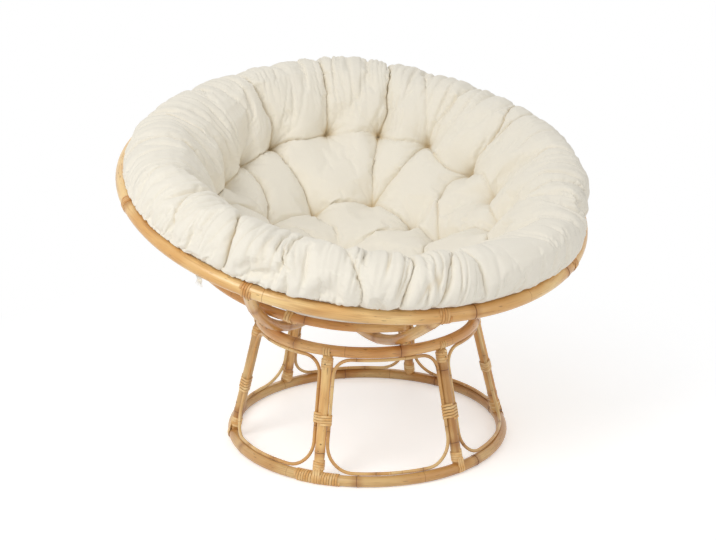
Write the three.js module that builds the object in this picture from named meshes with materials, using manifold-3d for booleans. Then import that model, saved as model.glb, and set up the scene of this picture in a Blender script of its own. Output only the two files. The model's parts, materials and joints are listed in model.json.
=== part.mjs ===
// Papasan chair: a round stand of rattan poles, a bowl of bent poles that rests and tilts
// in the stand's top ring, and a tufted cotton cushion. Millimetres, +Z up. The low side of
// the bowl faces -Y. The origin is on the floor, under the middle of the chair's outline.

import * as THREE from 'three';
import { mergeVertices } from 'three/addons/utils/BufferGeometryUtils.js';
import Module from 'manifold-3d';

const wasm = await Module();
wasm.setup();

const degree = Math.PI / 180;
const fullTurn = 2 * Math.PI;

// Fits
const gap = 0.3;                       // air left between two pieces that touch

// Stand
const floorRingRadius = 321.5;         // centre line of the pole
const floorRingPole = 13;              // radius of the pole itself
const topRingRadius = 252.8;
const topRingPole = 13;
const topRingHeight = 292.6;           // centre line above the floor
const legCount = 6;
const firstLegTurn = -52.8 * degree;   // from the low side of the bowl, towards +X
const legPole = 12;                    // largest radius, at a growth ring
const legSwell = 0.5;                  // growth ring over the shaft beside it
const legSwellReach = 5;               // half the length of a growth ring
const legCope = 4;                     // how far the leg's end reaches over a ring
const legNodeShares = [0.19, 0.5, 0.78];

// Thin canes bent round the inside of each bay
const canePole = 4;
const caneTopBend = 45;                // radius of the upper corners
const caneFootBend = 55;               // radius of the lower corners
const caneJoint = 1.5;                 // between the two cut ends of a cane

// Peel strips that bind the joints
const peelWidth = 5.4;
const peelThickness = 1.2;
const peelPitch = 6.2;                 // from one turn to the next
const legBindTurns = 3;
const legBindHeightShare = 0.46;       // along the leg, from the floor ring
const jointBindTurns = 2.5;
const jointBindStart = 1.6;            // between the ring's wrapping and the first turn
const spliceTurns = 17;                // over the scarf joint of the floor ring
const spliceLeg = 0;                   // the leg that stands on that joint
const rimBindTurns = 3;
const hoopBindTurns = 2;

// Bowl
const rimRadius = 534;
const rimPole = 16;
const rimDrop = 315.5;                 // from the centre of the bowl's sphere to the rim
const rimShift = 21;                   // of the rim, forward of the sphere's axis
const rimLeanPolar = 42.4 * degree;    // from here up the ribs lean forward to the rim
const bowlTilt = 14.4 * degree;        // as the chair is shown
const ribCount = 8;
const firstRibTurn = -56 * degree;
const ribPole = 13;
const ribEndRise = 3.6 * degree;       // of the ribs' ends, from the lowest point on the ring
const hoopPole = 12;
const midHoopStart = -3 * degree;      // the hoop is open at the front, where a splice
const midHoopEnd = 314 * degree;       // piece bridges it
const splicePolar = 41.2 * degree;
const spliceStart = -60 * degree;
const spliceEnd = -9.5 * degree;
const hoopBindTurn = -48.6 * degree;
const lowHoopRise = 2.2 * degree;      // of the low hoop, from the ends of the ribs

// Cushion
const cushionThickness = 105.6;        // between its underside and its top face
const cushionRimClear = 3.5;           // between the cushion and the wrapped rim
const cushionSideClear = 6;            // between its side and the ribs, below the rim
const tuftDepth = 46;
const tuftReach = 34;                  // how wide a tuft pulls the cloth in
const seamDepth = 15;
const outerTufts = 16;
const outerTuftPolar = 45 * degree;
const innerTufts = 8;
const innerTuftPolar = 25 * degree;
const tuftTurn = 2 * degree;
const rollWidth = 120;                 // the edge roll, inside to outside
const rollHeight = 120;                // above the rim's centre line
const rollPinchShare = 0.09;           // how far a seam draws the roll in

// Cotton tie that holds the cushion to the rim
const tieTurn = -81 * degree;
const tieTurns = 1.5;
const tieWidth = 9;
const tieThickness = 1.2;
const tiePitch = 10;
const tieTail = 30;                    // free end, hanging down

// Fineness of the facets
const poleSides = 8;
const caneSides = 6;
const rimSteps = 60;
const floorRingSteps = 60;
const topRingSteps = 48;
const ribSteps = 12;
const midHoopSteps = 40;
const spliceSteps = 7;
const lowHoopSteps = 24;
const cushionSteps = 48;
const bendSteps = 5;

// Worked out from the sizes above
const halfFacet = Math.PI / poleSides;
const cornerStretch = 1 / Math.cos(halfFacet);
const floorRingHeight = floorRingPole / cornerStretch;
const bindClear = gap + peelThickness + gap;
const ribSphere = Math.hypot(rimRadius, rimDrop);
const bowlReach = ribSphere + ribPole + topRingPole + gap;
const bowlHeight = topRingHeight + Math.sqrt(bowlReach ** 2 - topRingRadius ** 2);
const seatPolar = Math.asin(topRingRadius / bowlReach);
const ribLowPolar = seatPolar - bowlTilt + ribEndRise;
const lowHoopPolar = ribLowPolar + lowHoopRise;
const ribStepAngle = (Math.atan2(rimRadius, rimDrop) - ribLowPolar) / ribSteps;
const ribSag = ribSphere * (1 - Math.cos(ribStepAngle / 2));
const hoopSphere = ribSphere - ribPole - hoopPole - gap - ribSag;
const spliceSag = hoopSphere * (1 - Math.cos((spliceEnd - spliceStart) / spliceSteps / 2));
const hoopPitch = 2 * hoopPole + gap + spliceSag;
const midHoopPolar = splicePolar - hoopPitch / hoopSphere;
const midHoopStep = (midHoopEnd - midHoopStart) / midHoopSteps;
const hoopSag = hoopSphere * (1 - Math.cos(midHoopStep / 2));
const cushionUnder = hoopSphere - (hoopPole + bindClear) * cornerStretch - hoopSag;
const cushionSeat = hoopSphere - hoopPole - gap;    // on the low hoop
const cushionCrown = cushionUnder - cushionThickness;

// Finishes
const finishes = {
  pole: { color: 0xdfb069, roughness: 0.42 },
  cane: { color: 0xe6c88c, roughness: 0.45 },
  peel: { color: 0xedc985, roughness: 0.5 },
  cotton: { color: 0xf0eadb, roughness: 0.95 },
};

function mesh(name, geometry, finish) {
  const material = new THREE.MeshStandardMaterial({ ...finishes[finish], metalness: 0 });
  const piece = new THREE.Mesh(geometry, material);
  piece.name = name;
  return piece;
}

// Direction of an azimuth, counted from -Y towards +X
function azimuth(turn) {
  return new THREE.Vector3(Math.sin(turn), -Math.cos(turn), 0);
}

// Joined vertices only, with the faces turned outwards
function closedBody(source) {
  source.deleteAttribute('normal');
  source.deleteAttribute('uv');
  const geometry = mergeVertices(source, gap / 100);
  const place = geometry.getAttribute('position');
  const faces = geometry.getIndex().array;
  const corners = [];
  for (let i = 0; i < faces.length; i += 3) {
    const [p, q, r] = [faces[i], faces[i + 1], faces[i + 2]];
    if (p !== q && q !== r && r !== p) corners.push(p, q, r);
  }
  const [a, b, c] = [new THREE.Vector3(), new THREE.Vector3(), new THREE.Vector3()];
  let volume = 0;
  for (let i = 0; i < corners.length; i += 3) {
    a.fromBufferAttribute(place, corners[i]);
    b.fromBufferAttribute(place, corners[i + 1]);
    c.fromBufferAttribute(place, corners[i + 2]);
    volume += a.dot(b.cross(c));
  }
  if (volume < 0) {
    for (let i = 0; i < corners.length; i += 3) {
      [corners[i + 1], corners[i + 2]] = [corners[i + 2], corners[i + 1]];
    }
  }
  geometry.setIndex(corners);
  geometry.computeVertexNormals();
  return geometry;
}

// A pole bent into a full ring about Z. One flat of its section faces down.
function ringGeometry(radius, pole, steps, height) {
  const profile = [];
  for (let side = 0; side <= poleSides; side += 1) {
    const turn = (side + 0.5) * fullTurn / poleSides;
    profile.push(new THREE.Vector2(radius + pole * Math.cos(turn), pole * Math.sin(turn)));
  }
  profile[poleSides].copy(profile[0]);
  const ring = new THREE.LatheGeometry(profile, steps);
  ring.rotateX(Math.PI / 2);
  ring.translate(0, 0, height);
  return closedBody(ring);
}

// A curve that is sampled at its own stations, closer together where it bends
class StationCurve extends THREE.Curve {
  constructor(points) {
    super();
    this.points = points;
  }

  getPoint(share, target = new THREE.Vector3()) {
    return target.copy(this.points[Math.round(share * (this.points.length - 1))]);
  }

  getPointAt(share, target) {
    return this.getPoint(share, target);
  }

  getTangentAt(share, target = new THREE.Vector3()) {
    const last = this.points.length - 1;
    const here = Math.round(share * last);
    const ahead = this.points[Math.min(here + 1, last)];
    const behind = this.points[Math.max(here - 1, 0)];
    return target.subVectors(ahead, behind).normalize();
  }
}

// A round pole along stations, cut square at both ends
function poleAlong(points, pole, sides) {
  const section = new THREE.Shape();
  for (let side = 0; side < sides; side += 1) {
    const turn = side * fullTurn / sides;
    const [x, y] = [pole * Math.cos(turn), pole * Math.sin(turn)];
    if (side === 0) section.moveTo(x, y);
    else section.lineTo(x, y);
  }
  section.closePath();
  const path = new StationCurve(points);
  const settings = { steps: points.length - 1, extrudePath: path, curveSegments: 1 };
  return closedBody(new THREE.ExtrudeGeometry(section, settings));
}

function toManifold(geometry) {
  const vertProperties = new Float32Array(geometry.getAttribute('position').array);
  const triVerts = new Uint32Array(geometry.getIndex().array);
  return new wasm.Manifold(new wasm.Mesh({ numProp: 3, vertProperties, triVerts }));
}

function fromManifold(solid) {
  const cut = solid.getMesh();
  const geometry = new THREE.BufferGeometry();
  geometry.setAttribute('position', new THREE.BufferAttribute(cut.vertProperties, 3));
  geometry.setIndex(new THREE.BufferAttribute(cut.triVerts, 1));
  geometry.computeVertexNormals();
  return geometry;
}

function cutAway(geometry, cutters) {
  let solid = toManifold(geometry);
  for (const cutter of cutters) {
    solid = solid.subtract(toManifold(cutter));
  }
  return fromManifold(solid);
}

// Skin over a row of closed sections, with flat ends
function skin(sections) {
  const sides = sections[0].length;
  const points = sections.flat();
  const faces = [];
  for (let row = 0; row + 1 < sections.length; row += 1) {
    for (let side = 0; side < sides; side += 1) {
      const next = (side + 1) % sides;
      const [a, b] = [row * sides + side, row * sides + next];
      faces.push(a, b, b + sides, a, b + sides, a + sides);
    }
  }
  const last = (sections.length - 1) * sides;
  for (let side = 1; side + 1 < sides; side += 1) {
    faces.push(0, side + 1, side);
    faces.push(last, last + side, last + side + 1);
  }
  const geometry = new THREE.BufferGeometry().setFromPoints(points);
  geometry.setIndex(faces);
  return closedBody(geometry);
}

// A flat strip along stations. Each station has the point on the strip's inner face, the
// outward direction there, and how much a corner of the path stretches the thickness.
function stripSections(stations, width, thickness) {
  return stations.map((station, i) => {
    const ahead = stations[Math.min(i + 1, stations.length - 1)].point;
    const behind = stations[Math.max(i - 1, 0)].point;
    const along = new THREE.Vector3().subVectors(ahead, behind).normalize();
    const side = new THREE.Vector3().crossVectors(along, station.out).normalize();
    const reach = side.multiplyScalar(width / 2);
    const lift = station.out.clone().multiplyScalar(thickness * station.stretch);
    const low = station.point.clone().sub(reach);
    const high = station.point.clone().add(reach);
    return [low, low.clone().add(lift), high.clone().add(lift), high];
  });
}

// Least distance between corner points that lie at least half a turn apart on a strip
function leastSelfGap(sections, stepsPerTurn) {
  let least = Infinity;
  for (let i = 0; i < sections.length; i += 1) {
    for (let j = i + Math.ceil(stepsPerTurn / 2); j < sections.length; j += 1) {
      for (const p of sections[i]) {
        for (const q of sections[j]) least = Math.min(least, p.distanceTo(q));
      }
    }
  }
  return least;
}

let leastTurnGap = Infinity;

function strip(stations, width, thickness) {
  const sections = stripSections(stations, width, thickness);
  leastTurnGap = Math.min(leastTurnGap, leastSelfGap(sections, poleSides));
  return skin(sections);
}

// The stand's legs lean out from the top ring to the floor ring
const legRun = new THREE.Vector2(topRingRadius - floorRingRadius, topRingHeight - floorRingHeight);
const legLength = legRun.length();

// Frame of a leg: its axis, the outward side, the sideways direction and its foot
function legFrame(index) {
  const turn = firstLegTurn + index * fullTurn / legCount;
  const outward = azimuth(turn);
  const foot = outward.clone().multiplyScalar(floorRingRadius).setZ(floorRingHeight);
  const head = outward.clone().multiplyScalar(topRingRadius).setZ(topRingHeight);
  const axis = head.clone().sub(foot).normalize();
  const side = new THREE.Vector3().crossVectors(axis, outward).normalize();
  const out = new THREE.Vector3().crossVectors(side, axis);
  return { turn, foot, head, axis, side, out };
}

function ringCutter(radius, pole, steps, height, clear) {
  return ringGeometry(radius, pole + clear * cornerStretch, steps, height);
}

function legGeometry(index) {
  const { foot, axis, side } = legFrame(index);
  const shaft = legPole - legSwell;
  const start = floorRingPole - legCope;
  const end = legLength - topRingPole + legCope;
  const profile = [new THREE.Vector2(0, start), new THREE.Vector2(shaft, start)];
  for (const share of legNodeShares) {
    const node = share * legLength;
    profile.push(new THREE.Vector2(shaft, node - legSwellReach));
    profile.push(new THREE.Vector2(legPole, node));
    profile.push(new THREE.Vector2(shaft, node + legSwellReach));
  }
  profile.push(new THREE.Vector2(shaft, end), new THREE.Vector2(0, end));
  const shape = new THREE.LatheGeometry(profile, poleSides, halfFacet);
  const place = new THREE.Matrix4().makeBasis(side, axis, side.clone().cross(axis));
  place.setPosition(foot);
  shape.applyMatrix4(place);
  const footClear = index === spliceLeg ? bindClear : gap;
  return cutAway(closedBody(shape), [
    ringCutter(floorRingRadius, floorRingPole, floorRingSteps, floorRingHeight, footClear),
    ringCutter(topRingRadius, topRingPole, topRingSteps, topRingHeight, gap),
  ]);
}

// The bay between two legs is unrolled: x runs along the rings, y up the legs' slope
function bayPoint(bayTurn, x, y) {
  const share = y / legLength;
  const radius = THREE.MathUtils.lerp(floorRingRadius, topRingRadius, share);
  const height = THREE.MathUtils.lerp(floorRingHeight, topRingHeight, share);
  return azimuth(bayTurn + x / radius).multiplyScalar(radius).setZ(height);
}

// Stations of a closed outline whose corners are rounded, from the middle of its first side
function roundedOutline(corners, bends) {
  const stations = [corners[corners.length - 1].clone().lerp(corners[0], 0.5)];
  corners.forEach((corner, i) => {
    const before = corners[(i + corners.length - 1) % corners.length];
    const after = corners[(i + 1) % corners.length];
    const into = corner.clone().sub(before).normalize();
    const away = after.clone().sub(corner).normalize();
    const turn = Math.acos(into.dot(away));
    const cut = bends[i] * Math.tan(turn / 2);
    const start = corner.clone().addScaledVector(into, -cut);
    const inward = away.clone().addScaledVector(into, -into.dot(away)).normalize();
    const centre = start.clone().addScaledVector(inward, bends[i]);
    for (let step = 0; step <= bendSteps; step += 1) {
      const angle = turn * step / bendSteps;
      const station = centre.clone().addScaledVector(into, bends[i] * Math.sin(angle));
      stations.push(station.addScaledVector(inward, -bends[i] * Math.cos(angle)));
    }
  });
  stations.push(stations[0].clone());
  return stations;
}

function caneLoopGeometry(index) {
  const bayTurn = firstLegTurn + (index + 0.5) * fullTurn / legCount;
  const low = floorRingPole + gap + canePole;
  const high = legLength - topRingPole - gap - canePole;
  const halfWidth = (y) => {
    const radius = THREE.MathUtils.lerp(floorRingRadius, topRingRadius, y / legLength);
    return radius * Math.PI / legCount - legPole - gap - canePole;
  };
  const outline = roundedOutline([
    new THREE.Vector2(halfWidth(low), low),
    new THREE.Vector2(halfWidth(high), high),
    new THREE.Vector2(-halfWidth(high), high),
    new THREE.Vector2(-halfWidth(low), low),
  ], [caneFootBend, caneTopBend, caneTopBend, caneFootBend]);
  // The straight runs along the rings get stations of their own, to follow the curve
  const stations = [];
  outline.forEach((point, i) => {
    const next = outline[i + 1];
    stations.push(point);
    if (next && Math.abs(next.y - point.y) < gap && point.distanceTo(next) > caneFootBend) {
      stations.push(point.clone().lerp(next, 0.5));
    }
  });
  // The two cut ends of the cane meet in the middle of its lower run
  stations[0].x += caneJoint / 2;
  stations[stations.length - 1].x -= caneJoint / 2;
  return poleAlong(stations.map((p) => bayPoint(bayTurn, p.x, p.y)), canePole, caneSides);
}

// Turns round a leg and, where wide is set, round the two canes beside it as well
const wideTurnShares = [0, 0.0625, 0.125, 0.25, 0.375, 0.4375, 0.5, 0.5625, 0.625, 0.75, 0.875, 0.9375];

function wideStation(frame, share, height) {
  const angle = (share % 1) * fullTurn;
  const [c, s] = [Math.cos(angle), Math.sin(angle)];
  const caneOffset = legPole + gap + canePole;
  const onCane = Math.abs(s) * caneOffset > legPole - canePole;
  const stretch = onCane ? cornerStretch : 1 / Math.cos(Math.PI / 16);
  const reach = ((onCane ? canePole : legPole) + gap) * stretch;
  const shift = onCane ? Math.sign(s) * caneOffset : 0;
  const point = frame.foot.clone().addScaledVector(frame.axis, height);
  point.addScaledVector(frame.out, reach * c).addScaledVector(frame.side, reach * s + shift);
  const out = frame.out.clone().multiplyScalar(c).addScaledVector(frame.side, s);
  return { point, out, stretch };
}

function legBindingGeometry(index) {
  const frame = legFrame(index);
  const start = legBindHeightShare * legLength - legBindTurns * peelPitch / 2;
  const stations = [];
  for (let turn = 0; turn < legBindTurns; turn += 1) {
    for (const share of wideTurnShares) {
      stations.push(wideStation(frame, share, start + (turn + share) * peelPitch));
    }
  }
  stations.push(wideStation(frame, 0, start + legBindTurns * peelPitch));
  return strip(stations, peelWidth, peelThickness);
}

// Turns round the leg beside a ring, then one run of the same strip over the ring's
// outer side. away points from the ring along the leg.
function jointBindingGeometry(index, atHead) {
  const frame = legFrame(index);
  const centre = atHead ? frame.head : frame.foot;
  const away = frame.axis.clone().multiplyScalar(atHead ? -1 : 1);
  const ringPole = atHead ? topRingPole : floorRingPole;
  const overSplice = !atHead && index === spliceLeg;
  const clear = overSplice ? bindClear : gap;
  const legEnd = ringPole - legCope;
  const shaftFlat = (legPole - legSwell) / cornerStretch;
  const near = ringPole + bindClear + jointBindStart + peelWidth / 2;
  const spin = atHead ? 1 : -1;
  const stations = [];
  const steps = jointBindTurns * poleSides;
  for (let step = 0; step <= steps; step += 1) {
    const angle = spin * (step - steps - 0.5) * fullTurn / poleSides;
    const height = near + (steps - step) * peelPitch / poleSides;
    const out = frame.out.clone().multiplyScalar(Math.cos(angle));
    out.addScaledVector(frame.side, Math.sin(angle));
    const point = centre.clone().addScaledVector(away, height);
    point.addScaledVector(out, legPole - legSwell + gap * cornerStretch);
    stations.push({ point, out, stretch: cornerStretch });
  }
  const onLeg = (height) => ({
    point: centre.clone().addScaledVector(away, height).addScaledVector(frame.out, shaftFlat + clear),
    out: frame.out.clone(),
    stretch: 1,
  });
  stations.push(onLeg(near - peelWidth / 2), onLeg(legEnd - clear));
  const outward = azimuth(frame.turn);
  const cornerShares = atHead ? [0.5, 1.5] : [0.5, -0.5, -0.8];
  for (const share of cornerShares) {
    const angle = share * fullTurn / poleSides;
    const out = outward.clone().multiplyScalar(Math.cos(angle)).setZ(Math.sin(angle));
    const reach = ringPole + clear * cornerStretch;
    stations.push({
      point: centre.clone().addScaledVector(out, reach),
      out,
      stretch: cornerStretch,
    });
  }
  return strip(stations, peelWidth, peelThickness);
}

// How far a ring's flat facets draw it in at an azimuth between two of its corners
function facetScale(turn, steps) {
  const step = fullTurn / steps;
  const past = ((turn % step) + step) % step;
  return Math.cos(step / 2) / Math.cos(past - step / 2);
}

// Turns of a strip round a bent pole. planed is how much is taken off the pole's underside,
// and tail the length of a free end.
function ringWindingGeometry(ring, middleTurn, turns, section, planed = 0, tail = 0) {
  const { width, thickness, pitch } = section;
  const stations = [];
  const steps = turns * poleSides;
  const flatHeight = ring.pole / cornerStretch;
  for (let step = tail > 0 ? -1 : 0; step <= steps; step += 1) {
    const angle = (step + 0.5) * fullTurn / poleSides;
    const turn = middleTurn + (step / steps - 0.5) * turns * pitch / ring.radius;
    const reach = ring.pole + gap * cornerStretch;
    let [across, up] = [reach * Math.cos(angle), reach * Math.sin(angle)];
    const planedLevel = planed - gap - flatHeight;
    if (planed > 0 && up < planedLevel) {
      const lean = 2 * halfFacet;
      const slant = (flatHeight + gap + planedLevel * Math.cos(lean)) / Math.sin(lean);
      [across, up] = [Math.sign(across) * slant, planedLevel];
    }
    const outward = azimuth(turn);
    const scale = facetScale(turn, ring.steps);
    const point = outward.clone().multiplyScalar((ring.radius + across) * scale);
    const out = outward.multiplyScalar(Math.cos(angle)).setZ(Math.sin(angle));
    stations.push({ point: point.setZ(ring.height + up), out, stretch: cornerStretch });
  }
  if (tail > 0) {
    const loose = stations[0].point.clone();
    loose.applyAxisAngle(new THREE.Vector3(0, 0, 1), -pitch / ring.radius);
    const out = loose.clone().setZ(0).normalize();
    loose.z -= tail;
    stations[0].out = out;
    stations.unshift({ point: loose, out, stretch: 1 });
  }
  return strip(stations, width, thickness);
}

const floorRing = {
  radius: floorRingRadius, pole: floorRingPole, steps: floorRingSteps, height: floorRingHeight,
};
const topRing = {
  radius: topRingRadius, pole: topRingPole, steps: topRingSteps, height: topRingHeight,
};
const rim = { radius: rimRadius, pole: rimPole, steps: rimSteps, height: -rimDrop };
const peel = { width: peelWidth, thickness: peelThickness, pitch: peelPitch };
const tie = { width: tieWidth, thickness: tieThickness, pitch: tiePitch };

// The floor ring's scarf joint is planed below, so that its wrapping clears the floor
function floorRingGeometry() {
  const half = (spliceTurns + 1) * peelPitch / 2 / floorRingRadius;
  const middle = firstLegTurn + spliceLeg * fullTurn / legCount - Math.PI / 2;
  const [inner, outer] = [floorRingRadius - 2 * floorRingPole, floorRingRadius + 2 * floorRingPole];
  const sector = new THREE.Shape();
  sector.absarc(0, 0, outer, middle - half, middle + half, false);
  sector.absarc(0, 0, inner, middle + half, middle - half, true);
  sector.closePath();
  const settings = { depth: 2 * bindClear, bevelEnabled: false, curveSegments: bendSteps };
  const block = new THREE.ExtrudeGeometry(sector, settings);
  block.translate(0, 0, -bindClear);
  const ring = ringGeometry(floorRingRadius, floorRingPole, floorRingSteps, floorRingHeight);
  return cutAway(ring, [closedBody(block)]);
}

// Bowl pieces are drawn about the centre of the bowl's sphere, with the bowl level
function spherePoint(radius, polar, turn) {
  const point = azimuth(turn).multiplyScalar(radius * Math.sin(polar));
  return point.setZ(-radius * Math.cos(polar));
}

// The rim sits forward of the sphere's axis, so points up to it move forward by a share of that
function leant(point, share) {
  point.y -= rimShift * share;
  return point;
}

function ribLeanShare(polar) {
  const rimPolar = Math.atan2(rimRadius, rimDrop);
  return Math.max(0, (polar - rimLeanPolar) / (rimPolar - rimLeanPolar)) ** 2;
}

function ribGeometry(turn) {
  const rimPolar = Math.atan2(rimRadius, rimDrop);
  const stations = [];
  for (let step = 0; step <= ribSteps; step += 1) {
    const polar = THREE.MathUtils.lerp(ribLowPolar, rimPolar, step / ribSteps);
    stations.push(leant(spherePoint(ribSphere, polar, turn), ribLeanShare(polar)));
  }
  const rib = poleAlong(stations, ribPole, poleSides);
  const cutter = ringCutter(rimRadius, rimPole, rimSteps, -rimDrop, bindClear);
  return cutAway(rib, [cutter.translate(0, -rimShift, 0)]);
}

function hoopArcGeometry(polar, startTurn, endTurn, steps) {
  const stations = [];
  for (let step = 0; step <= steps; step += 1) {
    const turn = THREE.MathUtils.lerp(startTurn, endTurn, step / steps);
    stations.push(spherePoint(hoopSphere, polar, turn));
  }
  return poleAlong(stations, hoopPole, poleSides);
}

// Turns of peel round the hoop and the splice piece that lie side by side
function hoopBindingGeometry() {
  const polar = (splicePolar + midHoopPolar) / 2;
  const radius = hoopSphere * Math.sin(polar);
  const steps = hoopBindTurns * poleSides;
  const stations = [];
  for (let step = 0; step <= steps; step += 1) {
    const angle = (step + 0.5) * fullTurn / poleSides;
    const turn = hoopBindTurn + (step / steps - 0.5) * hoopBindTurns * peelPitch / radius;
    const down = spherePoint(1, polar, turn);
    const along = spherePoint(1, polar + Math.PI / 2, turn);
    const out = down.clone().multiplyScalar(Math.cos(angle)).addScaledVector(along, Math.sin(angle));
    const point = down.clone().multiplyScalar(hoopSphere - hoopSag / 2);
    point.addScaledVector(along, Math.sign(Math.sin(angle)) * (hoopPitch + hoopSag) / 2);
    point.addScaledVector(out, (hoopPole + gap) * cornerStretch + hoopSag / 2);
    stations.push({ point, out, stretch: cornerStretch });
  }
  return strip(stations, peelWidth, peelThickness);
}

// Outline of the roll at the cushion's edge past the rim: over the rim, up its outer side,
// across the crest and down inside, as shares of its width and height from the rim's centre
const rollShares = [
  [0.12, 0.36], [0.135, 0.58], [0.035, 0.8], [-0.18, 0.95], [-0.46, 0.985], [-0.7, 0.88], [-0.87, 0.69],
];
const rimHugShares = [0.52, 0.445, 0.342, 0.231];
const underPolarShares = [0.36, 0.68, 1];
const wallShares = [0.5, 1];
const topPolarShares = [0.94, 0.84, 0.75, 0.65, 0.53, 0.415, 0.3, 0.18, 0.08];

// 1 in line with each of a number of evenly spaced seams, falling to 0 between them
function seamShare(turn, count) {
  return (0.5 + 0.5 * Math.cos(count * (turn - tuftTurn))) ** 2;
}

function tuftPull(polar, turn) {
  const here = spherePoint(cushionCrown, polar, turn);
  let pull = Math.exp(-((polar * cushionCrown / tuftReach) ** 2));
  for (const [count, ringPolar] of [[outerTufts, outerTuftPolar], [innerTufts, innerTuftPolar]]) {
    for (let k = 0; k < count; k += 1) {
      const tuft = spherePoint(cushionCrown, ringPolar, tuftTurn + k * fullTurn / count);
      pull = Math.max(pull, Math.exp(-((here.distanceTo(tuft) / tuftReach) ** 2)));
    }
  }
  return pull;
}

function cushionRows() {
  const rimPolar = Math.atan2(rimRadius, rimDrop);
  const rows = [];
  const underEdge = splicePolar + hoopPole / hoopSphere;
  rows.push((turn) => spherePoint(cushionSeat, lowHoopPolar / 2, turn));
  rows.push((turn) => spherePoint(cushionSeat, lowHoopPolar, turn));
  for (const share of underPolarShares) {
    const polar = THREE.MathUtils.lerp(lowHoopPolar, underEdge, share);
    rows.push((turn) => spherePoint(cushionUnder, polar, turn));
  }
  const hug = rimPole + bindClear * cornerStretch + cushionRimClear;
  const side = ribSphere - ribPole - cushionSideClear;
  const wallPolar = rimPolar - 2 * hug / ribSphere;
  for (const share of wallShares) {
    const polar = THREE.MathUtils.lerp(underEdge, wallPolar, share);
    const radius = THREE.MathUtils.lerp(cushionUnder, side, share);
    rows.push((turn) => leant(spherePoint(radius, polar, turn), ribLeanShare(polar)));
  }
  for (const share of rimHugShares) {
    const across = hug * Math.cos(share * fullTurn);
    const up = hug * Math.sin(share * fullTurn);
    rows.push((turn) => {
      return leant(azimuth(turn).multiplyScalar(rimRadius + across).setZ(up - rimDrop), 1);
    });
  }
  for (const [acrossShare, upShare] of rollShares) {
    rows.push((turn) => {
      const pinch = 1 - rollPinchShare * seamShare(turn, outerTufts);
      const middleShare = rollShares[0][0] - 0.5;
      const across = (middleShare + (acrossShare - middleShare) * pinch) * rollWidth;
      const up = upShare * pinch * rollHeight;
      return leant(azimuth(turn).multiplyScalar(rimRadius + across).setZ(up - rimDrop), 1);
    });
  }
  for (const share of topPolarShares) {
    const polar = share * rimPolar;
    rows.push((turn) => {
      const outward = THREE.MathUtils.smoothstep(polar, innerTuftPolar, outerTuftPolar);
      const radial = seamShare(turn, outerTufts) * outward;
      const between = Math.exp(-(((polar - outerTuftPolar) * cushionCrown / tuftReach) ** 2));
      const spokes = seamShare(turn, innerTufts) * (1 - outward);
      const seam = seamDepth * Math.max(radial, between, spokes);
      const depth = Math.max(seam, tuftDepth * tuftPull(polar, turn));
      const lean = THREE.MathUtils.smoothstep(polar, innerTuftPolar, rimPolar);
      return leant(spherePoint(cushionCrown + depth, polar, turn), lean);
    });
  }
  return rows;
}

function cushionGeometry() {
  const rows = cushionRows();
  const points = [spherePoint(cushionSeat, 0, 0)];
  for (const row of rows) {
    for (let step = 0; step < cushionSteps; step += 1) {
      points.push(row(tuftTurn + step * fullTurn / cushionSteps));
    }
  }
  points.push(spherePoint(cushionCrown + tuftDepth, 0, 0));
  const faces = [];
  const at = (row, step) => 1 + row * cushionSteps + (step % cushionSteps);
  const last = rows.length - 1;
  for (let step = 0; step < cushionSteps; step += 1) {
    faces.push(0, at(0, step + 1), at(0, step));
    for (let row = 0; row < last; row += 1) {
      faces.push(at(row, step), at(row, step + 1), at(row + 1, step + 1));
      faces.push(at(row, step), at(row + 1, step + 1), at(row + 1, step));
    }
    faces.push(points.length - 1, at(last, step), at(last, step + 1));
  }
  const geometry = new THREE.BufferGeometry().setFromPoints(points);
  geometry.setIndex(faces);
  return closedBody(geometry);
}

// Assembly
const stand = new THREE.Group();
stand.add(mesh('floor_ring', floorRingGeometry(), 'pole'));
const topRingBody = ringGeometry(topRingRadius, topRingPole, topRingSteps, topRingHeight);
stand.add(mesh('top_ring', topRingBody, 'pole'));
const spliceTurn = firstLegTurn + spliceLeg * fullTurn / legCount;
const spliceWrap = ringWindingGeometry(floorRing, spliceTurn, spliceTurns, peel, bindClear);
stand.add(mesh('floor_ring_wrap', spliceWrap, 'peel'));
for (let i = 0; i < legCount; i += 1) {
  stand.add(mesh(`leg_${i + 1}`, legGeometry(i), 'pole'));
  stand.add(mesh(`cane_loop_${i + 1}`, caneLoopGeometry(i), 'cane'));
  stand.add(mesh(`leg_binding_${i + 1}`, legBindingGeometry(i), 'peel'));
  stand.add(mesh(`foot_binding_${i + 1}`, jointBindingGeometry(i, false), 'peel'));
  stand.add(mesh(`head_binding_${i + 1}`, jointBindingGeometry(i, true), 'peel'));
}

const bowl = new THREE.Group();
bowl.position.z = bowlHeight;
bowl.rotation.x = bowlTilt;
const rimBody = ringGeometry(rimRadius, rimPole, rimSteps, -rimDrop);
bowl.add(mesh('rim', rimBody.translate(0, -rimShift, 0), 'pole'));
const midHoop = hoopArcGeometry(midHoopPolar, midHoopStart, midHoopEnd, midHoopSteps);
bowl.add(mesh('mid_hoop', midHoop, 'pole'));
const splice = hoopArcGeometry(splicePolar, spliceStart, spliceEnd, spliceSteps);
bowl.add(mesh('mid_hoop_splice', splice, 'pole'));
bowl.add(mesh('mid_hoop_binding', hoopBindingGeometry(), 'peel'));
const lowRadius = hoopSphere * Math.sin(lowHoopPolar);
const lowHeight = -hoopSphere * Math.cos(lowHoopPolar);
bowl.add(mesh('low_hoop', ringGeometry(lowRadius, hoopPole, lowHoopSteps, lowHeight), 'pole'));
for (let i = 0; i < ribCount; i += 1) {
  const turn = firstRibTurn + i * fullTurn / ribCount;
  const binding = ringWindingGeometry(rim, turn, rimBindTurns, peel);
  bowl.add(mesh(`rib_${i + 1}`, ribGeometry(turn), 'pole'));
  bowl.add(mesh(`rim_binding_${i + 1}`, binding.translate(0, -rimShift, 0), 'peel'));
}
bowl.add(mesh('cushion', cushionGeometry(), 'cotton'));
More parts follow.
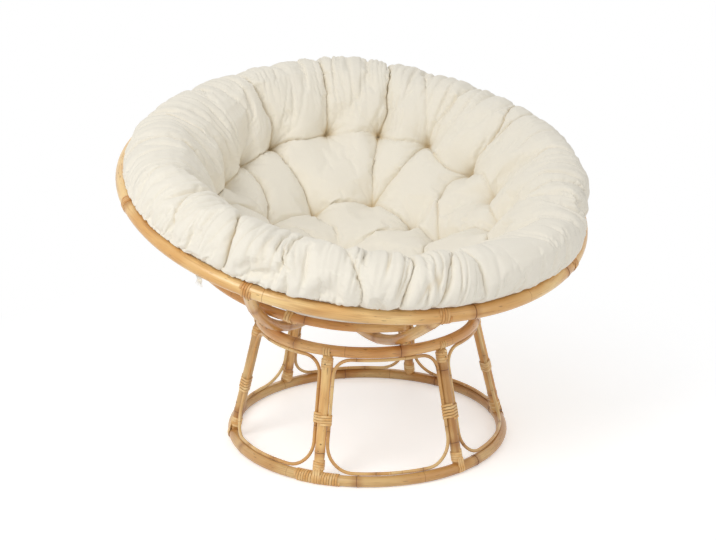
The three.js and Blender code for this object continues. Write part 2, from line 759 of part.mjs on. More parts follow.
const tieStrip = ringWindingGeometry(rim, tieTurn, tieTurns, tie, 0, tieTail);
bowl.add(mesh('cushion_tie', tieStrip.translate(0, -rimShift, 0), 'cotton'));
console.log(`least gap between turns of the bindings: ${leastTurnGap.toFixed(2)} mm`);

// The origin goes under the middle of the outline
const chair = new THREE.Group();
chair.add(stand, bowl);
chair.updateMatrixWorld(true);
const outline = new THREE.Box3().setFromObject(chair, true);
const middle = outline.getCenter(new THREE.Vector3());
chair.position.set(-middle.x, -middle.y, 0);
chair.updateMatrixWorld(true);
console.log(`bowl centre: ${[-middle.x, -middle.y, bowlHeight].map((v) => v.toFixed(3)).join(', ')} mm`);

export default chair;
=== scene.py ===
"""A papasan chair in rattan and cotton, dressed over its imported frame: bent poles with growth
rings, strip windings at the joints, a tufted cushion, and the studio it stands in.
Everything is in metres, in the row frame."""

import json
import math
from types import SimpleNamespace

import bpy
import numpy as np
from bpy.props import FloatProperty, FloatVectorProperty, IntProperty, PointerProperty
from bpy.types import Operator, Panel, PropertyGroup
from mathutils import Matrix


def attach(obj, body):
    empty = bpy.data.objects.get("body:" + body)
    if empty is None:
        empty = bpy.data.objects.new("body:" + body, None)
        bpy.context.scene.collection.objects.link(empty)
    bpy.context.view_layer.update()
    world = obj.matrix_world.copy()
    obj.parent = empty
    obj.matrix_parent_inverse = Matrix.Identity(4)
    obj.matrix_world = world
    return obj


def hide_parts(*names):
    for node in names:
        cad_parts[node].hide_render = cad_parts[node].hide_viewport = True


bl_info = {
    "name": "Papasan chair",
    "version": (1, 0, 0),
    "blender": (4, 5, 0),
    "location": "View3D > Sidebar > Papasan",
    "description": "Rattan poles, strip windings and a tufted cotton cushion over the packed frame",
    "category": "Object",
}

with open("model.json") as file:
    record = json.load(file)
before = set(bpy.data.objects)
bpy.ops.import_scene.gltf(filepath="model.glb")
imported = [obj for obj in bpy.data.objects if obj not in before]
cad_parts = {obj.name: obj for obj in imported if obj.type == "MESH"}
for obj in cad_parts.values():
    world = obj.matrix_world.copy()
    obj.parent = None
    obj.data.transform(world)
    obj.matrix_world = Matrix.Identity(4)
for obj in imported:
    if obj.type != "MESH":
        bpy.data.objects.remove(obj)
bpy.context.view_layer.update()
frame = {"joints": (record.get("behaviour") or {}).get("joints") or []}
TILT_JOINT = next(j for j in frame["joints"] if j["name"] == "bowl_tilt")
BOWL_CENTRE = np.array(TILT_JOINT["pos_m"], float)
STAND_AXIS = np.array([BOWL_CENTRE[0], BOWL_CENTRE[1], 0.0])

UP = np.array([0.0, 0.0, 1.0])

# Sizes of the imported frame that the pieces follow. A ring is its radius, its height and its pole's
# radius, and the rim's are drawn about the centre of the bowl before it is tilted.
FLOOR_RING = (0.3215, 0.0120, 0.0130)
TOP_RING = (0.2528, 0.2926, 0.0130)
RIM = (0.534, -0.3155, 0.0160)
LEG_TURNS = np.radians(-52.8 + 60.0 * np.arange(6))
LEG_RADIUS = 0.0116
LEG_TRIM = 0.0105
CANE_RADIUS = 0.0040
CANE_OFFSET = 0.0163
RIB_SPHERE = math.hypot(RIM[0], RIM[1])
RIB_TURNS = np.radians(-56.0 + 45.0 * np.arange(8))
RIB_RADIUS = 0.0130
HOOP_RADIUS = 0.0109
SPLICE_RADIUS = 0.0097
HOOP_SPHERE = 0.59560
MID_POLAR = math.radians(38.05)
SPLICE_POLAR = math.radians(40.05)
LOW_POLAR = math.radians(14.42)
RIB_LOW_POLAR = math.radians(12.22)
RIM_POLAR = math.atan2(RIM[0], -RIM[1])
LEAN_POLAR = math.radians(42.4)
RIM_SHIFT = np.array([0.0, -0.021, 0.0])
TILT = math.radians(14.4)

# Poles: sections near a growth ring, the pole that a collar's height is given for, how long and deep a
# cut end is rounded, the least step between sections, and how near two lengths count as the same
RING_STATIONS = np.array([-8, -5, -3, -1.8, -1.0, -0.4, 0.2, 0.8, 1.6, 3, 5, 8]) * 1e-3
COLLAR_RADIUS = 0.013
END_LENGTH = 0.0015
END_ROUNDING = 0.0018
LEAST_STEP = 0.0003
SAME_LENGTH = 1e-4

# Windings: points on one turn round a single pole and round several, the air under a strip, and how
# far its ends are tucked in
TURN_POINTS = 40
HULL_POINTS = 48
STRIP_AIR = 0.0002
TUCK = 0.0012

# Nail heads
NAIL_RADIUS = 0.0019
NAIL_HEIGHT = 0.0009

# Finishes of the poles, their tint over the common colours and the strength of their growth rings. The darker
# tints of some copies are painted shade on the pieces that stand in shade.
VARNISHES = {
    "pole_varnish": ((1.0, 1.0, 1.0), 1.0),
    # Partly a browner tone and partly painted shade: a darker copy for the top ring and the hoops, which
    # stand in the bowl's shade
    "brown_shaded_varnish": ((0.90, 0.77, 0.68), 1.0),
    # Painted shade: a darker, browner copy for the floor ring and for legs 2 and 6, which stand in shade
    "shaded_tan_varnish": ((0.78, 0.73, 0.68), 1.0),
    "honey_varnish": ((1.0, 0.94, 0.85), 1.0),
    # Painted shade: a darker, browner copy for the ribs, which stand in shade under the rim
    "shaded_rib_varnish": ((0.86, 0.78, 0.68), 1.0),
    # Painted shade: a grey tint that darkens all the canes for the shade on the front of the stand; its
    # growth rings are weaker
    "shaded_cane_varnish": ((0.90, 0.90, 0.90), 0.8),
}
PEELS = {"peel_varnish": (1.0, 1.0, 1.0), "brown_peel": (0.84, 0.70, 0.56)}

# Camera: its place, how many degrees it looks down, and how many it is turned
CAMERA_PLACE = (-1.9881, -3.1400, 1.6343)
CAMERA_DOWN = 18.564
CAMERA_TURN = -32.421

# Lamps: share of the key lamp's power, diameter and place, all aimed at the middle of the chair
LAMPS = {
    "key": (1.0, 2.2, (-3.0, -0.9, 3.0)),
    "fill": (0.30, 3.0, (1.2, -3.6, 1.9)),
    "back": (0.25, 2.4, (1.6, 2.8, 3.0)),
}
LAMP_AIM = np.array([0, -0.05, 0.45])


def linear(code):
    """Linear colour of an sRGB hex code."""
    c = np.array([int(code[i:i + 2], 16) / 255 for i in (1, 3, 5)])
    c = np.where(c <= 0.04045, c / 12.92, ((c + 0.055) / 1.055) ** 2.4)
    return tuple(float(v) for v in c)


def colour_property(name, description, code):
    """A colour that a user may change, given as an sRGB hex code."""
    return FloatVectorProperty(
        name=name, description=description, default=linear(code), size=3, subtype="COLOR", min=0, max=1
    )


def length_property(name, description, default, least=0.0):
    """A length that a user may change, in metres."""
    return FloatProperty(name=name, description=description, default=default, min=least, unit="LENGTH")


class RattanSettings(PropertyGroup):
    """Colours and sizes of the poles, canes and strips"""

    light: colour_property("Light", "Palest streaks of the varnished poles", "#F7D595")
    middle: colour_property("Middle", "Common colour of the varnished poles", "#E0AB64")
    dark: colour_property("Dark", "Darker patches of the poles", "#B5793A")
    growth: colour_property("Growth ring", "Line and stain at a growth ring", "#7A4A22")
    peel: colour_property("Peel", "Strips that are wound round the joints", "#F6D398")
    # Colour of the darker streaks, and of the painted shade at the edges of each strand
    peel_streak_and_groove_shade: colour_property("Peel shade", "Darker strips and their edges", "#B8803F")
    gloss: FloatProperty(name="Roughness", description="Roughness of the varnish", default=0.36, min=0, max=1)
    sides: IntProperty(name="Sides", description="Points round a pole", default=24, min=8, max=64)
    step: length_property("Step", "Distance between sections of a pole", 0.009, 0.002)
    swell: length_property("Swell", "Height of the collar at a growth ring", 0.0007)
    strand: length_property("Strand", "Width of a wound strip", 0.0056, 0.001)
    strand_height: length_property("Strand height", "Thickness of a wound strip", 0.0015, 0.0003)


class CushionSettings(PropertyGroup):
    """Colours, sizes and stuffing of the cushion"""

    cotton: colour_property("Cotton", "Natural cotton cloth", "#F3EDDF")
    # Painted shade: a warmer, darker colour laid into the folds, tufts and pleat valleys, also used for the
    # slubs
    fold: colour_property("Fold", "Cloth deep in the folds and tufts", "#D9C49A")
    cells: IntProperty(
        name="Cells", description="Cells across the simulated cloth, half of the final ones",
        default=240, min=40, max=400,
    )
    tuft_depth: length_property("Tuft depth", "How far a tuft pulls the top face in", 0.052)
    puff: length_property("Puff", "Height of a pillow between the folds", 0.016)
    crease: length_property("Crease", "Depth of the line along a fold", 0.0045)
    gather: length_property("Gather", "Height of the gathers round the edge roll", 0.0038)
    pressure: FloatProperty(name="Pressure", description="Pressure of the stuffing", default=0.8, min=0)
    slack: FloatProperty(
        name="Slack", description="How much too large the cloth is", default=0.085, min=0, max=0.3
    )
    stiffness: FloatProperty(
        name="Stiffness", description="Bending stiffness of the cloth", default=0.4, min=0
    )
    roll: length_property("Roll", "Height of the edge roll over the rim", 0.118, 0.02)
    slide: length_property("Slide", "How far the roll has slid sideways", 0.012)
    fill: FloatProperty(name="Fill", description="How tightly it is stuffed", default=0.75, min=0, max=1)


class StudioSettings(PropertyGroup):
    """Floor, light and lens"""

    floor: colour_property("Floor", "Pale floor and backdrop", "#FCFCFC")
    sky: FloatProperty(name="Sky", description="Strength of the light from all round", default=0.55, min=0)
    key: FloatProperty(
        name="Key", description="Power of the large lamp on the left", default=60, min=0, unit="POWER"
    )
    glow: FloatProperty(
        name="Glow", description="Light added to the floor near the chair", default=0.36, min=0
    )
    lens: FloatProperty(name="Lens", description="Focal length in millimetres", default=83.53, min=10)


# Node trees


class Value:
    """A shader socket. An expression on it adds the Math nodes that work it out."""

    def __init__(self, finish, socket):
        self.finish = finish
        self.socket = socket

    def apply(self, operation, *others):
        """A Math node with this value first and the others after it."""
        values = {i: v for i, v in enumerate((self, *others))}
        return self.finish.add("ShaderNodeMath", {"operation": operation}, values)

    def __add__(self, other):
        return self.apply("ADD", other)

    def __sub__(self, other):
        return self.apply("SUBTRACT", other)

    def __rsub__(self, other):
        return self.finish.add("ShaderNodeMath", {"operation": "SUBTRACT"}, {0: other, 1: self})

    def __mul__(self, other):
        return self.apply("MULTIPLY", other)

    def __abs__(self):
        return self.apply("ABSOLUTE")

    __radd__ = __add__
    __rmul__ = __mul__


class Finish:
    """A material that is built up from named parts."""

    def __init__(self, name):
        self.material = bpy.data.materials.new(name)
        self.material.use_nodes = True
        self.tree = self.material.node_tree
        self.shader = self.tree.nodes["Principled BSDF"]
        self.output = self.tree.nodes["Material Output"]

    def add(self, kind, settings=None, values=None, out=0):
        """One node: its settings first, then the values or links of its sockets. Gives one output."""
        node = self.tree.nodes.new(kind)
        for key, setting in (settings or {}).items():
            setattr(node, key, setting)
        for key, value in (values or {}).items():
            self.feed(node.inputs[key], value)
        return Value(self, node.outputs[out])

    def feed(self, socket, value):
        """Link a value to a socket, or set the socket to a number or a colour."""
        if isinstance(value, Value):
            self.tree.links.new(value.socket, socket)
        elif isinstance(value, (tuple, list)) and len(value) == 3 and len(socket.default_value) == 4:
            socket.default_value = (*value, 1.0)
        else:
            socket.default_value = value

    def attribute(self, name, out="Fac"):
        """A point attribute of the mesh."""
        return self.add("ShaderNodeAttribute", {"attribute_name": name}, out=out)

    def stretch(self, vector, scale):
        """A vector times a scale for each axis, so that a pattern runs long where it is small."""
        values = {0: vector, 1: scale}
        return self.add("ShaderNodeVectorMath", {"operation": "MULTIPLY"}, values)

    def noise(self, vector, scale, detail=2.0):
        """Smooth noise about 0.5, with so many patches to a metre."""
        values = {"Vector": vector, "Scale": scale, "Detail": detail}
        return self.add("ShaderNodeTexNoise", None, values, out="Fac")

    def between(self, value, low, high):
        """0 below low, 1 above high, smooth between them."""
        values = {"Value": value, "From Min": low, "From Max": high}
        return self.add("ShaderNodeMapRange", {"interpolation_type": "SMOOTHSTEP"}, values)

    def mix(self, factor, first, second, blend="MIX"):
        """Two colours: the first where the factor is 0, blended with the second where it is 1."""
        values = {0: factor, 6: first, 7: second}
        return self.add("ShaderNodeMix", {"data_type": "RGBA", "blend_type": blend}, values, out=2)

    def bump(self, height, strength, distance):
        """Relief in the shading only, as high as the distance in metres."""
        values = {"Height": height, "Strength": strength, "Distance": distance}
        self.feed(self.shader.inputs["Normal"], self.add("ShaderNodeBump", None, values))

    def set(self, values):
        """Values or links of the shader's own sockets."""
        for key, value in values.items():
            self.feed(self.shader.inputs[key], value)


def rattan_finish(name, settings, tint, knots=1.0):
    """Varnished pole: long pale and dark streaks, blotches, small flecks, and a dark line with a
    stain on both sides of each growth ring."""
    finish = Finish(name)
    grain = finish.attribute("grain", "Vector")
    growth = finish.attribute("growth")
    streak = finish.noise(finish.stretch(grain, (1, 1, 0.035)), 420, 3)
    band = finish.noise(finish.stretch(grain, (1, 1, 0.10)), 60, 2)
    patch = finish.noise(finish.stretch(grain, (1, 1, 0.45)), 14, 2)
    fleck = finish.noise(finish.stretch(grain, (1, 1, 0.16)), 260, 1)
    base = finish.mix(finish.between(patch, 0.38, 0.66), tuple(settings.middle), tuple(settings.light))
    base = finish.mix(finish.between(band, 0.54, 0.76) * 0.60, base, tuple(settings.dark))
    base = finish.mix(finish.between(streak, 0.50, 0.78) * 0.50, base, tuple(settings.dark))
    base = finish.mix(finish.between(fleck, 0.69, 0.76) * 0.5, base, tuple(settings.growth))
    near = abs(growth)
    stain = (1 - finish.between(near, 0.001, 0.020)) * (0.30 + band * 0.6)
    line = 1 - finish.between(near, 0.0004, 0.0017)
    base = finish.mix(stain * knots, base, tuple(settings.dark))
    base = finish.mix(line * 0.72 * knots, base, tuple(settings.growth))
    base = finish.mix(1.0, base, tint, "MULTIPLY")
    finish.set({"Base Color": base, "Roughness": streak * 0.16 + (settings.gloss - 0.08)})
    finish.set({"Coat Weight": 0.35 - line * 0.3, "Coat Roughness": 0.16, "Specular IOR Level": 0.45})
    finish.bump(streak * 0.5 + line * -1.0 + band * 0.6, 0.35, 0.0004)
    return finish.material


def peel_finish(name, settings, tint):
    """Split peel: each strand pale along its middle, with painted shade at its edges where it dips into the
    grooves between strands, and fine streaks.
    """
    finish = Finish(name)
    grain = finish.attribute("grain", "Vector")
    edge = abs(finish.attribute("growth"))
    streak = finish.noise(finish.stretch(grain, (1, 1, 0.05)), 700, 2)
    patch = finish.noise(finish.stretch(grain, (0.3, 0.3, 1)), 45, 2)
    base = finish.mix(finish.between(patch, 0.35, 0.70), tuple(settings.peel), tuple(settings.middle))
    base = finish.mix(finish.between(streak, 0.50, 0.78) * 0.5, base, tuple(settings.peel_streak_and_groove_shade))
    # Painted shade: the edges of each strand darken where they dip into the groove beside the next
    base = finish.mix(finish.between(edge, 0.62, 1.0) * 0.75, base, tuple(settings.peel_streak_and_groove_shade))
    base = finish.mix(1.0, base, tint, "MULTIPLY")
    finish.set({"Base Color": base, "Roughness": streak * 0.2 + settings.gloss, "Coat Weight": 0.12})
    finish.bump(streak, 0.4, 0.0003)
    return finish.material


def cotton_finish(name, settings):
    """Natural cotton: a plain weave too fine to count, slubs, and painted warm shade deep in the folds and
    tufts.
    """
    finish = Finish(name)
    place = finish.add("ShaderNodeTexCoord", out="Object")
    fold = finish.attribute("fold")
    slub = finish.noise(finish.stretch(place, (1, 1, 0.25)), 900, 2)
    cross = finish.noise(finish.stretch(place, (0.25, 1, 1)), 900, 2)
    patch = finish.noise(place, 9, 2)
    # Painted shade in the folds, tufts and pleat valleys, read from the fold attribute
    base = finish.mix(finish.between(fold, 0.05, 1.0) * 0.85, tuple(settings.cotton), tuple(settings.fold))
    pale = tuple(0.94 * c for c in settings.cotton)
    base = finish.mix(finish.between(patch, 0.35, 0.75) * 0.35, base, pale)
    base = finish.mix(finish.between(slub * 0.5 + cross * 0.5, 0.55, 0.75) * 0.25, base, tuple(settings.fold))
    finish.set({"Base Color": base, "Roughness": 0.9, "Sheen Weight": 0.15, "Sheen Roughness": 0.5})
    finish.set({"Specular IOR Level": 0.25})
    finish.bump(slub * 0.5 + cross * 0.5, 0.35, 0.0004)
    return finish.material


def nail_finish(name):
    """Small steel nail heads, dulled by varnish."""
    finish = Finish(name)
    place = finish.add("ShaderNodeTexCoord", out="Object")
    speck = finish.noise(place, 1500, 2)
    finish.set({"Base Color": finish.mix(speck, linear("#6B5333"), linear("#A58A5C")), "Metallic": 0.6})
    finish.set({"Roughness": speck * 0.3 + 0.3})
    return finish.material


# Surfaces


def unit(v):
    """A vector divided by its length."""
    return v / np.maximum(np.linalg.norm(v, axis=-1, keepdims=True), 1e-12)


def azimuth(turn):
    """Level direction at an angle counted from -Y towards +X."""
    turn = np.asarray(turn, float)
    return np.stack([np.sin(turn), -np.cos(turn), np.zeros_like(turn)], -1)


def sphere_point(radius, polar, turn):
    """Point on a sphere round the bowl's centre, polar angle counted from its lowest point."""
    radius, polar, turn = np.broadcast_arrays(
        np.asarray(radius, float), np.asarray(polar, float), np.asarray(turn, float)
    )
    point = azimuth(turn) * (radius * np.sin(polar))[..., None]
    point[..., 2] = -radius * np.cos(polar)
    return point


def bowl_turned(v):
    """A direction drawn on the level bowl, tilted with it about X."""
    c, s = math.cos(TILT), math.sin(TILT)
    v = np.asarray(v, float)
    return np.stack([v[..., 0], c * v[..., 1] - s * v[..., 2], s * v[..., 1] + c * v[..., 2]], -1)


def bowl_placed(p):
    """A point drawn about the centre of the level bowl, put where the bowl is."""
    return bowl_turned(p) + BOWL_CENTRE


def rib_lean(polar):
    """Share of the rim's forward shift that a rib has at a polar angle: none up to the hoops, then
    growing as the square."""
    return np.clip((polar - LEAN_POLAR) / (RIM_POLAR - LEAN_POLAR), 0, 1) ** 2


def add_mesh(name, verts, faces, material, attributes=None):
    """A smooth mesh object with point attributes. faces is a list of index arrays."""
    mesh = bpy.data.meshes.new(name)
    mesh.from_pydata(verts.tolist(), [], [f for part in faces for f in part.tolist()])
    mesh.polygons.foreach_set("use_smooth", np.ones(len(mesh.polygons), bool))
    for key, data in (attributes or {}).items():
        data = np.asarray(data, np.float32)
        kind = "FLOAT_VECTOR" if data.ndim == 2 else "FLOAT"
        layer = mesh.attributes.new(key, kind, "POINT")
        layer.data.foreach_set("vector" if data.ndim == 2 else "value", data.ravel())
    mesh.materials.append(material)
    mesh.update()
    piece = bpy.data.objects.new(name, mesh)
    bpy.context.scene.collection.objects.link(piece)
    return piece


def sweep(path, outward, across, up, closed=False):
    """Surface of a section carried along a path: point = path + across * outward + up * side,
    where side is square to the path and to outward. Gives vertices and faces with flat ends."""
    n, m = len(path), across.shape[1]
    if closed:
        tangent = unit(np.roll(path, -1, 0) - np.roll(path, 1, 0))
    else:
        tangent = unit(np.gradient(path, axis=0))
    out = unit(outward - (outward * tangent).sum(-1, keepdims=True) * tangent)
    side = np.cross(tangent, out)
    points = path[:, None] + across[..., None] * out[:, None] + up[..., None] * side[:, None]
    rows = np.arange(n if closed else n - 1)
    i, j = np.meshgrid(rows, np.arange(m), indexing="ij")
    i2, j2 = (i + 1) % n, (j + 1) % m
    quads = np.stack([i * m + j, i * m + j2, i2 * m + j2, i2 * m + j], -1).reshape(-1, 4)
    verts, faces = points.reshape(-1, 3), [quads]
    if not closed:
        ring = np.arange(m)
        last = (n - 1) * m
        verts = np.concatenate([verts, path[:1], path[-1:]])
        faces.append(np.stack([np.full(m, n * m), (ring + 1) % m, ring], -1))
        faces.append(np.stack([np.full(m, n * m + 1), last + ring, last + (ring + 1) % m], -1))
    return verts, faces


def pole_stations(length, growth, step, closed):
    """Lengths along a pole where it gets a section: even steps, and a close group at each growth
    ring and at each cut end."""
    count = max(8, int(round(length / step)))
    groups = [np.linspace(0, length, count + 1)]
    groups += [mark + RING_STATIONS for mark in growth]
    if not closed:
        groups += [np.array([END_LENGTH, length - END_LENGTH])]
    s = np.unique(np.round(np.concatenate(groups), 5))
    s = s[(s >= 0) & (s <= length - (SAME_LENGTH if closed else 0))]
    return s[np.concatenate([[True], np.diff(s) > LEAST_STEP])]


def growth_distance(s, growth, length, closed, most=0.06):
    """Signed distance along the pole to the nearest growth ring, at most 60 mm."""
    if len(growth) == 0:
        return np.full(len(s), most)
    d = s[:, None] - np.asarray(growth)[None]
    if closed:
        d = (d + length / 2) % length - length / 2
    nearest = d[np.arange(len(s)), np.abs(d).argmin(1)]
    return np.clip(nearest, -most, most)


def grain_places(across, up, s, shift):
    """Where the material reads its pattern: across and up in the section and s along the piece, all
    shifted so that no two pieces look alike."""
    along = np.broadcast_to(s[:, None], across.shape)
    return np.stack([across, up, along], -1).reshape(-1, 3) + shift


def pole(name, curve, length, radius, growth, material, settings, seed, closed=False, place=None):
    """A rattan pole. Its radius is steady but for a slow waver, a low collar with a fine groove at
    each growth ring, and a rounded edge at a cut end. curve(s) gives points and outward directions."""
    rng = np.random.default_rng(seed)
    growth = np.asarray([g for g in growth if closed or 0.01 < g < length - 0.01])
    s = pole_stations(length, growth, settings.step, closed)
    path, outward = curve(s)
    d = growth_distance(s, growth, length, closed)
    collar = np.exp(-((d - 0.0015) / 0.0038) ** 2)
    groove = 1.1 * np.exp(-((d + 0.0007) / 0.0008) ** 2)
    phase = rng.uniform(0, 2 * np.pi, 4)
    counts = np.array([2, 3, 5, 8])
    waves = np.sin(2 * np.pi * counts[None] * s[:, None] / max(length, 0.3) + phase).sum(1)
    r = radius * (1 + 0.006 * waves) + settings.swell * (collar - groove) * radius / COLLAR_RADIUS
    if not closed:
        r = np.where((s < SAME_LENGTH) | (s > length - SAME_LENGTH), r - END_ROUNDING, r)
    theta = np.linspace(0, 2 * np.pi, settings.sides, endpoint=False)
    oval = 1 + 0.012 * np.cos(2 * theta[None] + phase[0] + 3 * s[:, None])
    across = r[:, None] * oval * np.cos(theta)
    up = r[:, None] * oval * np.sin(theta)
    verts, faces = sweep(path, outward, across, up, closed)
    if place is not None:
        verts = place(verts)
    grain = grain_places(across, up, s, rng.uniform(0, 5, 3))
    growth_at = np.repeat(d, settings.sides)
    if not closed:
        grain = np.concatenate([grain, grain[:1], grain[-1:]])
        growth_at = np.concatenate([growth_at, d[:1], d[-1:]])
    return add_mesh(name, verts, faces, material, {"grain": grain, "growth": growth_at})


def strand_section(width, height):
    """Half-round section of a wound strip: flat below, crowned above, with rounded edges."""
    x = np.array([-1.0, -0.92, -0.62, 0.0, 0.62, 0.92, 1.0, 0.8, 0.0, -0.8]) * width / 2
    y = np.array([0.30, 0.74, 0.97, 1.05, 0.97, 0.74, 0.30, 0.0, 0.0, 0.0]) * height
    edge = np.array([-1, -0.8, -0.5, 0, 0.5, 0.8, 1, 1, 1, 1])
    return x, y, edge


def strand(name, path, outward, material, settings, seed, place=None, width=None, height=None):
    """A flat strip carried along a path of points on its inner face, its ends tucked under."""
    rng = np.random.default_rng(seed)
    x, y, edge = strand_section(width or settings.strand, height or settings.strand_height)
    n = len(path)
    fade = np.clip(np.minimum(np.arange(n), n - 1 - np.arange(n)) / 3, 0, 1)
    path = path - outward * ((1 - fade) * TUCK)[:, None]
    across = np.broadcast_to(y, (n, len(y))).copy()
    up = np.broadcast_to(x, (n, len(x))).copy()
    verts, faces = sweep(path, outward, across, up)
    if place is not None:
        verts = place(verts)
    s = length_along(path)
    grain = grain_places(across, up, s, rng.uniform(0, 5, 3))
    grain = np.concatenate([grain, grain[:1], grain[-1:]])
    # Place across the strip, the mask of the painted shade at its edges
    edges = np.concatenate([np.tile(edge, n), [0, 0]])
    return add_mesh(name, verts, faces, material, {"grain": grain, "growth": edges})


def joined(name, pieces):
    """Several meshes of one piece as one object, at the first one's place in the list."""
    with bpy.context.temp_override(
        active_object=pieces[0], selected_objects=pieces, selected_editable_objects=pieces
    ):
        bpy.ops.object.join()
    pieces[0].name = name
    return pieces[0]


def finish_piece(piece, body, nodes):
    """Let a piece ride on a body and take the place of CAD nodes."""
    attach(piece, body)
    if nodes:
        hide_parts(*nodes)
    return piece


# Paths


def length_along(points):
    """Length from the first point of a path to each of its points."""
    return np.concatenate([[0], np.cumsum(np.linalg.norm(np.diff(points, axis=0), axis=1))])


def ring_outward(turn, angle):
    """Way out of a ring's pole: level outward times cos(angle), plus up times sin(angle)."""
    return azimuth(turn) * np.cos(angle)[:, None] + UP * np.sin(angle)[:, None]


def winding_angle(turns):
    """Angles of a winding, from 0 through so many whole turns."""
    return np.linspace(0, 2 * np.pi * turns, TURN_POINTS * turns + 1)


def ring_curve(radius, height, start=0.0, centre=STAND_AXIS):
    """A level circle: radius along the azimuth, with the length counted from the start."""

    def curve(s):
        out = azimuth(start + s / radius)
        return centre + out * radius + UP * height, out

    return curve


def leg_frame(turn):
    """Foot, head, axis, outward and sideways directions of a leg that leans in to the top ring."""
    out = azimuth(turn)
    foot = STAND_AXIS + out * FLOOR_RING[0] + UP * FLOOR_RING[1]
    head = STAND_AXIS + out * TOP_RING[0] + UP * TOP_RING[1]
    axis = unit(head - foot)
    side = unit(np.cross(axis, out))
    return foot, head, axis, np.cross(side, axis), side


LEG_LENGTH = float(np.linalg.norm(leg_frame(0.0)[1] - leg_frame(0.0)[0]))


def leg_curve(turn, start):
    """A straight line up a leg, with the length counted from the start."""
    foot, _, axis, out, _ = leg_frame(turn)

    def curve(s):
        return foot + axis * (start + s)[:, None], np.broadcast_to(out, (len(s), 3))

    return curve


def bay_point(turn, x, y):
    """Point of the slope between two legs: x runs along the rings, y up the slope."""
    share = y / LEG_LENGTH
    radius = FLOOR_RING[0] + (TOP_RING[0] - FLOOR_RING[0]) * share
    height = FLOOR_RING[1] + (TOP_RING[1] - FLOOR_RING[1]) * share
    point = azimuth(turn + x / radius) * radius[:, None]
    point[:, 2] += height
    return STAND_AXIS + point


def rounded_outline(corners, bends):
    """Closed outline through corners that are rounded by arcs, from the middle of its last side."""
    corners = np.asarray(corners, float)
    pieces = []
    for k, (corner, bend) in enumerate(zip(corners, bends)):
        into = unit(corner - corners[k - 1])
        away = unit(corners[(k + 1) % len(corners)] - corner)
        turn = math.acos(float(into @ away))
        inward = unit(away - into * (into @ away))
        centre = corner - into * bend * math.tan(turn / 2) + inward * bend
        angle = np.linspace(0, turn, 14)[:, None]
        pieces.append(centre + into * bend * np.sin(angle) - inward * bend * np.cos(angle))
    start = (corners[-1] + corners[0]) / 2
    points = np.concatenate([[start], *pieces, [start]])
    return points, length_along(points)


def hull_turns(circles, turns, pitch):
    """Path of a strip wound round several round rods: at each angle it lies on the rod that
    reaches furthest that way. Gives offsets (outward, sideways, along) and directions."""
    angle = np.linspace(0, 2 * np.pi * turns, HULL_POINTS * turns + 1)
    c, s = np.cos(angle), np.sin(angle)
    reach = circles[:, 0, None] * c + circles[:, 1, None] * s + circles[:, 2, None]
    k = reach.argmax(0)
    a = circles[k, 0] + circles[k, 2] * c
    b = circles[k, 1] + circles[k, 2] * s
    return np.stack([a, b, pitch * angle / (2 * np.pi)], -1), np.stack([c, s], -1)


def growth_marks(length, spacing, seed):
    """Growth rings along a pole: the first within a spacing, the others at 0.75 to 1.25 spacings."""
    rng = np.random.default_rng(seed)
    first = spacing * rng.uniform(0.25, 0.8)
    marks = first + np.cumsum(np.concatenate([[0], rng.uniform(0.75, 1.25, 40) * spacing]))
    return marks[marks < length]


# Operators


def rattan():
    """The settings of the poles and strips."""
    return bpy.context.scene.papasan_rattan


def materials():
    """The finishes, made once and then found by name."""
    if "pole_varnish" not in bpy.data.materials:
        settings = rattan()
        for name, (tint, knots) in VARNISHES.items():
            rattan_finish(name, settings, tint, knots)
        for name, tint in PEELS.items():
            peel_finish(name, settings, tint)
        cotton_finish("natural_cotton", bpy.context.scene.papasan_cushion)
        nail_finish("dull_nail")
    return bpy.data.materials


class PAPASAN_OT_rings(Operator):
    """Floor ring and top ring of the stand"""

    bl_idname = "papasan.rings"
    bl_label = "Stand rings"

    def execute(self, context):
        settings, made = rattan(), materials()
        # Node, ring, where its joint is, how much slimmer it is, distance of growth rings, seed, finish
        rings = (
            # The floor ring takes the copy that is darkened with painted shade
            ("floor_ring", FLOOR_RING, LEG_TURNS[0] - 0.02, 0.0004, 0.30, 11, "shaded_tan_varnish"),
            # The top ring takes the browner copy, darkened with painted shade
            ("top_ring", TOP_RING, LEG_TURNS[3], 0.0003, 0.29, 12, "brown_shaded_varnish"),
        )
        for node, (radius, height, thick), start, slimmer, spacing, seed, finish in rings:
            length = 2 * np.pi * radius
            piece = pole(
                f"{node}_pole", ring_curve(radius, height, start), length, thick - slimmer,
                growth_marks(length, spacing, seed), made[finish], settings, seed + 10, closed=True,
            )
            self.clear_of_floor(piece.data)
            finish_piece(piece, "stand", [node])
        return {"FINISHED"}

    @staticmethod
    def clear_of_floor(mesh, lowest=0.0002):
        """Lift every point that is too low to just above the floor."""
        points = np.empty(len(mesh.vertices) * 3)
        mesh.vertices.foreach_get("co", points)
        points = points.reshape(-1, 3)
        points[:, 2] = np.maximum(points[:, 2], lowest)
        mesh.vertices.foreach_set("co", points.ravel())


